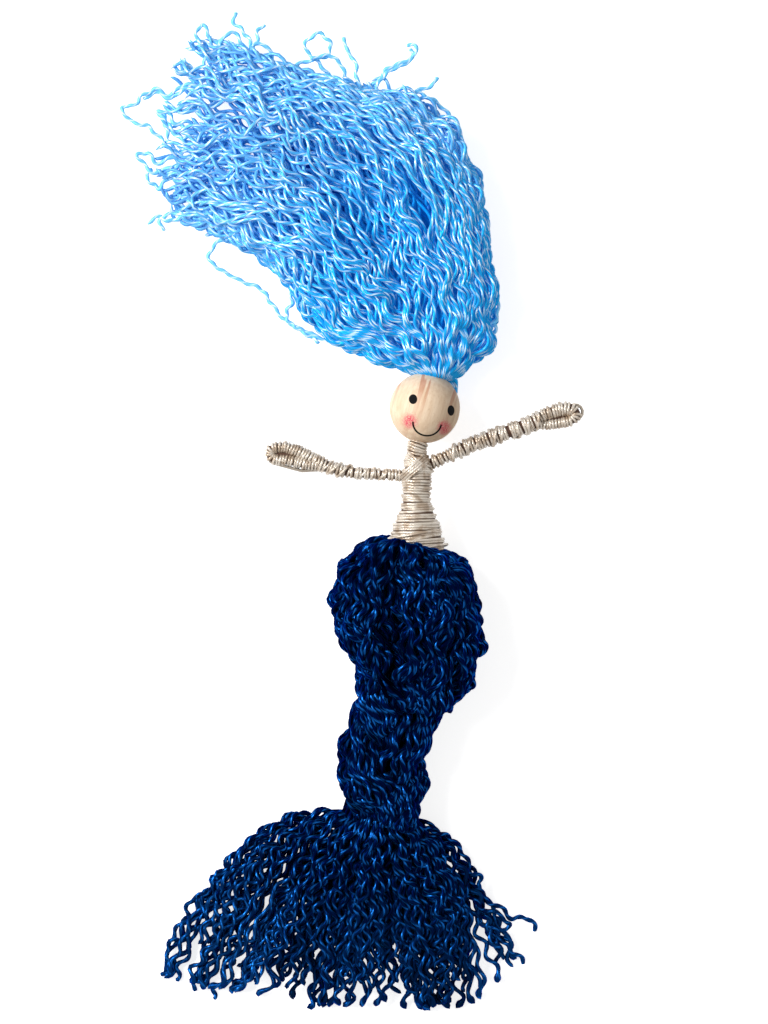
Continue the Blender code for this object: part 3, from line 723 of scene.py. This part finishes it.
# Guides of each yarn mass from its root to its ends, in pixels
HAIR = Fan([
    [(420, 377), (387, 361), (342, 344), (309, 317), (288, 280), (254, 250), (224, 233), (192, 222)],
    [(424, 377), (393, 352), (353, 322), (323, 284), (295, 246), (258, 216), (218, 194), (174, 180)],
    [(429, 377), (408, 340), (380, 298), (352, 248), (320, 204), (277, 166), (230, 140), (180, 126)],
    [(434, 378), (426, 335), (412, 285), (392, 230), (360, 180), (316, 132), (262, 96), (202, 64)],
    [(440, 379), (448, 335), (447, 285), (435, 230), (412, 173), (376, 126), (322, 92), (248, 54)],
    [(445, 380), (470, 345), (480, 300), (474, 242), (461, 187), (433, 137), (392, 102), (330, 82)],
    [(450, 381), (483, 350), (492, 302), (485, 242), (479, 196), (461, 150), (433, 114), (390, 90)],
])

FIN = Fan([
    [(356, 812), (322, 814), (292, 818), (256, 837), (230, 862), (206, 896), (182, 932), (159, 978)],
    [(360, 814), (332, 822), (302, 838), (272, 865), (248, 900), (226, 935), (210, 964), (196, 990)],
    [(366, 815), (346, 832), (323, 855), (303, 885), (286, 915), (270, 947), (257, 974), (244, 1002)],
    [(372, 816), (360, 840), (347, 868), (338, 895), (330, 925), (324, 952), (320, 980), (316, 1010)],
    [(380, 816), (375, 842), (370, 870), (367, 897), (364, 925), (362, 952), (361, 982), (360, 1011)],
    [(389, 816), (394, 842), (398, 870), (400, 897), (402, 925), (404, 952), (406, 982), (408, 1011)],
    [(397, 816), (411, 838), (422, 865), (431, 895), (438, 925), (442, 952), (446, 982), (450, 1010)],
    [(404, 816), (422, 832), (440, 852), (455, 880), (466, 912), (473, 945), (480, 975), (486, 1000)],
    [(410, 817), (430, 828), (450, 843), (468, 868), (482, 897), (498, 914), (512, 934), (525, 955)],
])

HIPS = Fan([
    [(398, 555), (386, 542), (364, 548), (346, 569), (338, 596),
     (340, 622), (350, 645), (361, 664), (362, 688)],
    [(400, 555), (390, 541), (374, 552), (358, 580), (352, 606),
     (355, 632), (364, 655), (372, 675), (376, 696)],
    [(402, 556), (396, 541), (387, 560), (375, 590), (371, 616),
     (373, 640), (378, 662), (384, 684), (388, 704)],
    [(406, 558), (402, 543), (397, 570), (394, 600), (392, 626),
     (393, 650), (394, 670), (396, 692), (398, 710)],
    [(411, 561), (411, 546), (413, 572), (415, 600), (415, 626),
     (412, 650), (410, 672), (408, 694), (407, 712)],
    [(418, 564), (422, 549), (433, 570), (438, 598), (438, 624),
     (432, 650), (425, 674), (419, 694), (414, 713)],
    [(428, 568), (436, 553), (452, 568), (459, 597), (461, 624),
     (455, 651), (445, 676), (433, 697), (424, 714)],
    [(434, 570), (448, 556), (465, 571), (474, 600), (475, 627),
     (475, 648), (465, 676), (449, 700), (432, 715)],
])


def across_dome(u):
    """A half circle across a fan: 0 at both sides and 1 in the middle."""
    return np.sqrt(np.clip(1 - (2 * np.clip(u, 0, 1) - 1) ** 2, 0, 1))


def hair_height(u, t):
    """A dome across the hair, sunk along a groove; its top follows the list of heights."""
    top = np.interp(t, [0, 0.1, 0.3, 0.55, 0.8, 1.0, 1.2], [14, 17, 21, 21, 15, 7, 4]) * MM
    groove = 5.0 * MM * bell(u, 0.45, 0.10) * smoothstep(0.1, 0.3, t) * smoothstep(0.8, 0.55, t)
    return 2.0 * MM + (top - 2.0 * MM) * (0.30 + 0.70 * across_dome(u)) - groove


def fin_height(u, t):
    """A dome across the fin that thins towards the ends."""
    top = np.interp(t, [0, 0.12, 0.4, 0.7, 0.9, 1.0, 1.2], [15, 16, 14, 10, 6, 3, 2]) * MM
    return 1.4 * MM + (top - 1.4 * MM) * (0.2 + 0.8 * across_dome(u) ** 1.3)


def hip_height(u, t):
    """A dome across the hips, sunk along the valley between the two lobes."""
    heights = [17, 19.5, 22, 23.5, 25, 23.5, 20.5, 19]
    top = np.interp(t, [0, 0.06, 0.12, 0.2, 0.46, 0.7, 0.87, 1.0], heights) * MM
    valley = 5.0 * MM * bell(u, 0.40, 0.09) * smoothstep(0.15, 0.3, t) * smoothstep(0.9, 0.65, t)
    return AXIS + (top - AXIS) * across_dome(u) ** 0.75 - valley


def lay(fan, height, u, depth, reach, count, rng, drift=0.03):
    """Strands that follow a fan at share u across it, each at its own depth under the fan's top."""
    t = np.linspace(0, 1, count)[None] * reach[:, None]
    start = rng.uniform(0, 2 * math.pi, (len(u), 2))
    speed = rng.uniform(0.6, 1.6, (len(u), 1))
    sway = drift * np.sin(2 * math.pi * t * speed + start[:, :1]) * smoothstep(0, 0.4, t)
    across = np.clip(u[:, None] + sway, 0, 1)
    flat = fan.at(across, t)
    tall = height(across, t) * (1 - depth[:, None])
    return np.concatenate([flat, tall[..., None]], 2)


def crowd(share, edges):
    """Shares from 0 to 1 moved towards both ends; edges is how much, from 0 to 1."""
    return (1 - edges) * share + edges * (0.5 - 0.5 * np.cos(math.pi * share))


def settle(paths, lowest):
    """Lifts what would lie under the table."""
    paths[..., 2] = np.maximum(paths[..., 2], lowest)
    return paths


def fan_core(name, fan, height, share, ends, material, slot, body, low=0.3 * MM, rim=0.02, across=(0, 1)):
    """A plain filling inside a fan of yarn: its top at a share of the yarn's height, its underside at low.

    It fills the fan between the two shares of across and of ends, and its top comes down all round.
    """
    u = np.linspace(rim, 1 - rim, 40)
    t = np.linspace(ends[0], ends[1], 48)
    u, t = np.meshgrid(u, t)
    inside = across[0] + (across[1] - across[0]) * u
    flat = fan.at(inside, t)
    sides = np.minimum(1, np.minimum(u - rim, 1 - rim - u) * 12)
    tips = np.minimum(1, np.minimum(t - ends[0], ends[1] - t) * 12)
    top = low + (height(inside, t) * share - low) * (sides * tips)
    upper = np.concatenate([flat, top[..., None]], 2)
    lower = np.concatenate([flat, np.full(top.shape, low)[..., None]], 2)
    skin = np.concatenate([upper, lower[:, ::-1]], 1)
    place(surface(name, skin, material, closed=True), slot, body)


def add_hair():
    """Crimped strands fanned from the bead: fine ones below, and looser locks that lie on top."""
    rng = np.random.default_rng(11)
    radius = 0.52 * MM
    twist = 9.0 * MM
    steps = 110
    share = np.linspace(0, 1, steps)
    easing = (smoothstep(0.0, 0.12, share) + 0.5 * smoothstep(0.65, 1.0, share))[None]
    # Strands, greatest depth, locks, spread within a lock, and the wave's height and length in millimetres
    layers = (
        (150, 0.62, 60, 0.38, 0.9, 9.5),
        (150, 0.35, 34, 0.3, 1.0, 11.0),
        (130, 0.12, 20, 0.2, 1.35, 13.5),
    )
    for k, (count, deepest, locks, apart, wave, length) in enumerate(layers):
        u = crowd(rng.uniform(0, 1, count), 0.35)
        depth = deepest * rng.uniform(0.35, 1.0, count) - 0.04 * (k == 2)
        reach = np.clip(rng.normal(0.95, 0.08, count), 0.62, 1.06)
        paths = lay(HAIR, hair_height, u, depth, reach, steps, rng, 0.025 + 0.015 * k)
        lock = (u * locks).astype(int)
        calm = (1 - 0.4 * smoothstep(0.5, 0.9, u) + 0.7 * smoothstep(0.9, 1.0, u))[:, None]
        paths = crimp(paths, wave * MM, length * MM, easing * calm, rng, lock, apart, 2.0 * MM)
        # Painted shade: deeper strands are darker, and each strand also has its random lightness.
        tone = np.clip(0.95 - 1.7 * depth + rng.normal(0, 0.2, count), 0, 1)
        item = yarn(f"hair_strands_{k}", settle(paths, radius), radius, SKY, rng, tone, twist)
        place(item, "sky_yarn", HAIR_BEND, *(("hair_hank",) if k == 0 else ()))
    fan_core("hair_core", HAIR, hair_height, 0.42, (0.02, 0.74), SKY_CORE_SHADE, "sky_yarn", HAIR_BEND, rim=0.11)


def loose(name, lines, heights, radius, wave, wavelength, material, slot, body, seed):
    """Single strands along given lines, crimped a little, from a first to a last height in millimetres."""
    rng = np.random.default_rng(seed)
    steps, sides, lobes, twist = 90, 8, 0.12, 6.0 * MM
    paths = []
    for line, (first, last) in zip(lines, heights):
        height = np.linspace(first, last, steps)[:, None] * MM
        paths.append(np.concatenate([plan(spline(line, steps)), height], 1))
    paths = crimp(np.array(paths), wave, wavelength, np.ones((1, steps)), rng)
    paths = settle(paths, radius * (1 + lobes))
    tone = rng.uniform(0.7, 1.0, len(lines))
    place(tubes(name, paths, radius, sides, material, lobes, twist, rng, tone=tone), slot, body)


def add_flyaways():
    """Loose ends and loops round the hair, and the short lock that lies beside the bead."""
    top = [
        [(258, 92), (249, 62), (249, 40), (244, 31), (234, 21), (234, 10)],
        [(250, 84), (251, 55), (256, 40), (257, 30), (264, 22)],
        [(212, 92), (204, 65), (206, 50), (196, 37), (201, 22), (209, 35), (220, 46), (230, 62), (236, 82)],
        [(205, 96), (196, 75), (190, 66), (182, 57)],
        [(224, 80), (219, 56), (220, 42), (231, 30), (242, 42), (247, 56), (252, 80)],
        [(248, 60), (254, 44), (262, 42), (269, 50), (275, 60), (283, 66), (292, 84)],
        [(256, 88), (270, 74), (282, 72), (295, 64), (310, 59), (327, 54), (330, 42), (320, 32), (307, 38),
         (306, 49), (317, 59), (327, 72), (344, 90)],
        [(310, 58), (328, 54), (340, 62), (346, 78), (350, 98)],
        [(366, 106), (357, 78), (355, 60), (346, 48), (345, 35)],
        [(352, 116), (362, 100), (367, 90), (377, 81), (387, 68), (400, 62), (415, 54), (414, 44), (407, 42)],
        [(356, 112), (370, 92), (380, 80), (389, 70), (402, 64), (413, 56), (410, 47)],
        [(388, 112), (397, 93), (410, 96), (420, 88), (432, 85), (437, 75)],
        [(398, 104), (417, 92), (430, 98), (440, 104), (449, 117), (447, 134)],
        [(282, 104), (288, 84), (296, 70), (304, 72), (314, 78), (326, 90), (336, 104)],
    ]
    left = [
        [(226, 92), (200, 85), (182, 84), (169, 94), (155, 88), (140, 96), (132, 105), (120, 106), (132, 121),
         (147, 125), (161, 139), (176, 152), (196, 160)],
        [(224, 96), (200, 90), (184, 88), (170, 97), (156, 91), (142, 98)],
        [(205, 140), (190, 130), (175, 122), (167, 112), (157, 110), (164, 120), (169, 140), (185, 147),
         (204, 156)],
        [(206, 150), (186, 142), (172, 130), (164, 116), (158, 107)],
        [(206, 160), (186, 150), (170, 158), (155, 161), (147, 152), (137, 154), (145, 165), (155, 172),
         (172, 164)],
        [(204, 176), (180, 172), (162, 182), (157, 187), (145, 175), (152, 168)],
        [(226, 210), (208, 212), (185, 212), (172, 220), (157, 216), (146, 222)],
        [(214, 218), (196, 214), (176, 212), (160, 217), (162, 230)],
        [(262, 242), (226, 238), (210, 250), (212, 263), (240, 280), (260, 288), (272, 304), (288, 322),
         (326, 340)],
        [(320, 342), (297, 328), (286, 316), (292, 300), (290, 285), (302, 275)],
        [(478, 330), (494, 322), (498, 303), (490, 288), (478, 282)],
        [(470, 350), (488, 338), (495, 328), (488, 315), (476, 305)],
    ]
    heights = [(6, 3)] * 8 + [(7, 4)] * 3 + [(7, 5), (7, 6), (7, 7)]
    heights += [(5, 5), (6, 4)] * 2 + [(5, 5), (4, 3), (5, 3), (5, 3), (5, 6), (6, 6), (9, 9), (9, 9)]
    radius, wave, length = 0.55 * MM, 0.3 * MM, 4.5 * MM
    loose("hair_flyaways", top + left, heights, radius, wave, length, SKY_PALE, "sky_yarn", "hair", 21)
    offsets = (-3, -1, 1, 3)
    lock = [[(449 + k, 372), (452 + k, 380), (453 + k, 388), (452.5 + 0.6 * k, 394)] for k in offsets]
    heights = [(9, 3)] * len(offsets)
    radius, wave, length = 0.7 * MM, 0.15 * MM, 5.0 * MM
    loose("hair_lock", lock, heights, radius, wave, length, SKY, "sky_yarn", "neck", 23)


def add_hips():
    """Strands folded down over the waist in two lobes, above and below, drawn in at the knee."""
    rng = np.random.default_rng(31)
    radius = 0.69 * MM
    count = 200
    steps = 90
    u = np.clip(crowd(np.linspace(0, 1, count), 0.5) + rng.normal(0, 0.008, count), 0, 1)
    depth = rng.uniform(0, 0.08, count)
    reach = np.clip(rng.normal(0.97, 0.05, count), 0.8, 1.0)
    paths = lay(HIPS, hip_height, u, depth, reach, steps, rng, 0.04)
    easing = smoothstep(0.05, 0.22, np.linspace(0, 1, steps))[None]
    lock = (u * 28).astype(int)
    paths = crimp(paths, 1.5 * MM, 11.5 * MM, easing, rng, lock, 0.28, 2.5 * MM)
    # Painted shade: deeper strands and those in the valley between the two lobes are darker; each strand also
    # has its random lightness.
    tone = np.clip(0.85 - 6 * depth - 0.45 * bell(u, 0.39, 0.06) + rng.normal(0, 0.2, count), 0, 1)
    paths = settle(paths, radius * (1 + YARN_LOBES))
    parting = 0.4
    for name, chosen in (("left", u < parting), ("right", u >= parting)):
        item = yarn(f"hip_strands_{name}", paths[chosen], radius, NAVY, rng, tone[chosen])
        place(item, "navy_yarn", "torso", *(("hip_yarn",) if name == "left" else ()))

    def under(u, t):
        """The top's height mirrored at the axis and let down a little."""
        return 2 * AXIS - hip_height(u, t) - 2 * MM

    count = 120
    steps = 60
    u = crowd(np.linspace(0, 1, count), 1.0)
    paths = lay(HIPS, under, u, np.zeros(count), np.full(count, 0.99), steps, rng, 0.01)
    paths = crimp(paths, 0.8 * MM, 9.0 * MM, np.ones((1, steps)), rng)
    lower = yarn("hip_strands_under", settle(paths, radius * (1 + YARN_LOBES)), radius, NAVY, rng)
    place(lower, "navy_yarn", "torso")
    fan_core("hip_core", HIPS, hip_height, 0.77, (0.03, 0.97), NAVY_CORE_SHADE, "navy_yarn", "torso", 1.2 * MM)
    loops = [
        [(452, 640), (470, 628), (482, 632), (485, 645), (477, 655), (462, 656)],
        [(450, 650), (468, 640), (480, 640), (482, 650), (472, 656), (455, 662)],
        [(448, 672), (464, 662), (472, 672), (472, 685), (462, 688), (450, 684)],
        [(442, 690), (455, 680), (468, 686), (466, 692), (456, 698), (440, 702)],
        [(455, 600), (468, 600), (476, 612), (474, 622), (464, 626)],
        [(444, 565), (458, 560), (469, 570), (470, 582), (460, 590)],
    ]
    heights = [(12, 12), (15, 15), (12, 12), (9, 9), (14, 14), (15, 14)]
    loose("hip_loops", loops, heights, radius, 0.5 * MM, 6.0 * MM, NAVY, "navy_yarn", "torso", 37)


# Rows down the plait, and its middle and half width at each, in pixels
PLAIT_ROWS = [676, 700, 740, 780, 826]
PLAIT_MIDDLES = [402, 398, 388.5, 382, 380]
PLAIT_HALVES = [36, 43, 43, 42, 33]


def add_plait():
    """Three locks of strands: each swings across and passes over the next on its way in.

    A lock's middle goes by sin(turn) across and by -sin(2 * turn) in height, a third of a turn from the next.
    """
    rng = np.random.default_rng(41)
    radius = 0.69 * MM
    steps = 80
    strands = 92
    swing, rise, tall = 0.50, 3.6 * MM, 5.2 * MM
    share = np.linspace(0, 1, steps)
    row = PLAIT_ROWS[0] + (PLAIT_ROWS[-1] - PLAIT_ROWS[0]) * share
    middle = np.interp(row, PLAIT_ROWS, PLAIT_MIDDLES)
    half = np.interp(row, PLAIT_ROWS, PLAIT_HALVES) * PIXEL
    centre = level(plan(np.stack([middle, row], 1)), 9.5 * MM)
    knee = ("torso", "tail", tuple(KNEE + (0, 8 * MM, 0)), tuple(KNEE - (0, 6 * MM, 0)))
    for k, name in enumerate("abc"):
        turn = 2 * math.pi * (0.62 * share + k / 3 + 0.10)
        spine = centre.copy()
        spine[:, 0] += swing * half * np.sin(turn)
        spine[:, 2] -= rise * np.sin(2 * turn)
        angle = rng.uniform(0, 2 * math.pi, strands)
        deep = rng.uniform(0.7, 1.0, strands)
        tangent = unit(np.gradient(spine, axis=0))
        side = unit(np.stack([tangent[:, 1], -tangent[:, 0], np.zeros(steps)], 1))
        up = np.cross(side, tangent)
        spin = angle[:, None] + 0.5 * share[None]
        out = (0.56 * half[None] * deep[:, None] * np.cos(spin))[..., None]
        lift = (tall * deep[:, None] * np.sin(spin))[..., None]
        lock = np.argsort(np.argsort(angle)) // 8
        paths = spine[None] + side[None] * out + up[None] * lift
        paths = crimp(paths, 0.85 * MM, 9.0 * MM, np.ones((1, steps)), rng, lock, 0.3, 1.2 * MM)
        paths = settle(paths, radius * (1 + YARN_LOBES))
        # Painted light and shade: strands on the top of a lock are lighter and those underneath darker, and
        # strands nearer its middle darker than those at its outside; each strand also has its random
        # lightness.
        tone = 0.42 + 1.2 * (deep - 0.85) + 0.42 * np.sin(angle) + rng.normal(0, 0.15, strands)
        item = yarn(f"plait_strands_{name}", paths, radius, NAVY, rng, np.clip(tone, 0, 1))
        place(item, "navy_yarn", knee, f"plait_lock_{name}")
    core("plait_core", centre, half * 0.7, knee, NAVY_CORE_SHADE, "navy_yarn", squash=0.5)


def add_fin():
    """Strands spread from the ankle, thin at the sides and dense in the middle, many with knotted ends."""
    rng = np.random.default_rng(51)
    radius = 0.63 * MM
    steps = 90
    dense, left, right = 170, 46, 12
    count = dense + left + right
    middle = rng.permutation(np.linspace(0.26, 0.86, dense) + rng.normal(0, 0.004, dense))
    u = np.concatenate([middle, rng.uniform(0.0, 0.27, left), rng.uniform(0.86, 1.0, right)])
    depth = np.concatenate([rng.uniform(0, 0.45, dense), rng.uniform(0.1, 0.6, left + right)])
    # Strands lie deeper in two valleys; through their lightness below, this also darkens them as painted
    # shade.
    sunk = 0.6 * bell(u, 0.70, 0.045) + 0.35 * bell(u, 0.20, 0.05)
    depth = np.minimum(depth + sunk * rng.uniform(0, 1, count), 0.8)
    long = rng.uniform(0, 1, count) < np.where(np.arange(count) < dense, 0.15, 0.42)
    reach = np.where(long, rng.uniform(0.965, 1.01, count), rng.uniform(0.66, 0.935, count))
    paths = lay(FIN, fin_height, u, depth, reach, steps, rng, 0.016)
    easing = smoothstep(0.0, 0.2, np.linspace(0, 1, steps))[None]
    lock = (u * 100).astype(int)
    paths = settle(crimp(paths, 1.05 * MM, 8.2 * MM, easing, rng, lock, 0.35, 1.0 * MM), radius)
    along = lengths(paths)
    to_end = along[:, -1:] - along
    knotted = long[:, None] & (rng.uniform(0, 1, (count, 1)) < 0.9)
    # Painted shade: deeper strands, those in the two valleys among them, are darker; strands at the left side
    # are lighter; each strand also has its random lightness.
    tone = np.clip(0.9 - 1.5 * depth + 0.5 * (u < 0.27) + rng.normal(0, 0.2, count), 0, 1)
    thick = radius * (1 + 0.65 * knotted * bell(to_end, 1.8 * MM, 1.1 * MM))
    paths = settle(paths, thick)
    ankle = ("tail", "fin", tuple(ANKLE + (0, 2 * MM, 0)), tuple(ANKLE - (0, 8 * MM, 0)))
    for k, (chosen, paint) in enumerate(((slice(0, dense), NAVY_FIN), (slice(dense, None), NAVY_SIDES))):
        item = yarn(f"fin_strands_{k}", paths[chosen], thick[chosen], paint, rng, tone[chosen])
        place(item, "navy_yarn", ankle, *(("fin_fringe",) if k == 0 else ()))
    ends = [
        [(440, 850), (462, 872), (478, 890), (492, 905), (505, 912), (513, 921), (524, 919), (534, 925),
         (536, 934)],
        [(450, 880), (468, 906), (485, 925), (501, 938), (508, 950), (518, 957), (525, 966)],
        [(445, 870), (470, 898), (488, 912), (502, 918), (511, 926), (500, 932), (488, 938)],
        [(262, 846), (240, 866), (222, 880), (206, 894), (188, 904), (186, 920), (173, 935), (167, 944)],
        [(240, 880), (214, 906), (196, 925), (184, 940), (168, 945), (166, 958), (172, 968), (160, 979)],
        [(420, 830), (446, 836), (458, 848), (466, 858), (470, 872), (481, 880), (478, 891), (468, 896)],
        [(252, 862), (228, 886), (212, 906), (203, 926), (190, 940), (188, 956), (178, 968), (176, 984)],
        [(262, 868), (240, 892), (222, 915), (212, 938), (203, 950), (205, 966), (195, 978), (192, 994)],
        [(276, 880), (256, 905), (240, 930), (233, 952), (222, 966), (224, 982), (214, 990), (212, 1002)],
    ]
    heights = [(6, 1), (5, 1), (6, 2), (5, 1), (4, 1), (8, 4), (5, 1), (5, 1), (5, 1)]
    loose("fin_loose", ends, heights, radius, 0.55 * MM, 6.0 * MM, NAVY_SIDES, "navy_yarn", "fin", 57)
    inner = (0.28, 0.86)
    fan_core("fin_core", FIN, fin_height, 0.5, (0.02, 0.62), NAVY_CORE_SHADE, "navy_yarn", ankle, across=inner)


# Stage


def seen_share(nodes):
    """1 for the rays that show the surround, straight or in a reflection, and 0 for those that light."""
    kinds = ("Is Camera Ray", "Is Glossy Ray", "Is Transmission Ray")
    camera, glossy, through = nodes.node("ShaderNodeLightPath", kinds)
    return camera.math("MAXIMUM", glossy).math("MAXIMUM", through)


def add_stage():
    """A plain pale floor, a large soft key light from the upper left and a white surround."""
    half, drop = 3.0, -0.05 * MM
    corners = np.array([[(x, y, drop) for x in (-half, half)] for y in (-half, half)])
    pale = Paint("floor_look", 0.9, 0.1)
    pale.set("Base Color", (0.8, 0.8, 0.8, 1))
    pale.set("Emission Color", pale.blend(seen_share(pale), (0, 0, 0, 1), (1, 1, 1, 1)))
    pale.set("Emission Strength", 0.76)
    floor = surface("floor", corners, pale.material)
    for name, spot, size, power in (
        ("key", (-0.85, 0.35, 0.8), 0.7, 19.0),
        ("fill", (0.9, -0.3, 1.1), 1.2, 2.0),
    ):
        light = bpy.data.lights.new(name, "AREA")
        light.size = size
        light.energy = power
        item = bpy.data.objects.new(name, light)
        item.location = spot
        x, y, z = -np.array(spot)
        item.rotation_euler = (math.atan2(math.hypot(x, y), -z), 0, math.atan2(y, x) - math.pi / 2)
        bpy.context.scene.collection.objects.link(item)
    world = bpy.data.worlds.new("surround")
    bpy.context.scene.world = world
    world.use_nodes = True
    sky = Nodes(world.node_tree)
    background = sky.tree.nodes["Background"]
    background.inputs["Color"].default_value = (1, 1, 1, 1)
    sky.feed(background.inputs["Strength"], seen_share(sky) * 0.75 + 0.25)


def add_camera():
    """Straight above, far away, with the photo's frame at the height of the bead's middle."""
    distance = 1.6
    camera = bpy.data.cameras.new("camera")
    camera.sensor_fit = "VERTICAL"
    camera.angle = 2 * math.atan(FRAME[1] / 2 * PIXEL / distance)
    camera.clip_start = 0.05
    camera.clip_end = 20
    item = bpy.data.objects.new("camera", camera)
    x, y = plan(FRAME / 2)
    item.location = (x, y, AXIS + distance)
    bpy.context.scene.collection.objects.link(item)
    bpy.context.scene.camera = item
    bpy.context.scene.view_settings.view_transform = "Standard"


def finish_wires():
    """Bare steel on the wires that keep their solids."""
    for wire in ("neck_wire", "spine_wire", "left_arm_wire", "right_arm_wire"):
        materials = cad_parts[wire].data.materials
        materials.clear()
        materials.append(STEEL)


finish_wires()
add_head()
add_torso()
for name, size in CHEST_BANDS.items():
    add_chest_band(name, *size)
for name, size in ARMS.items():
    add_arm(name, size)
add_hair()
add_flyaways()
add_hips()
add_plait()
add_fin()
add_stage()
add_camera()
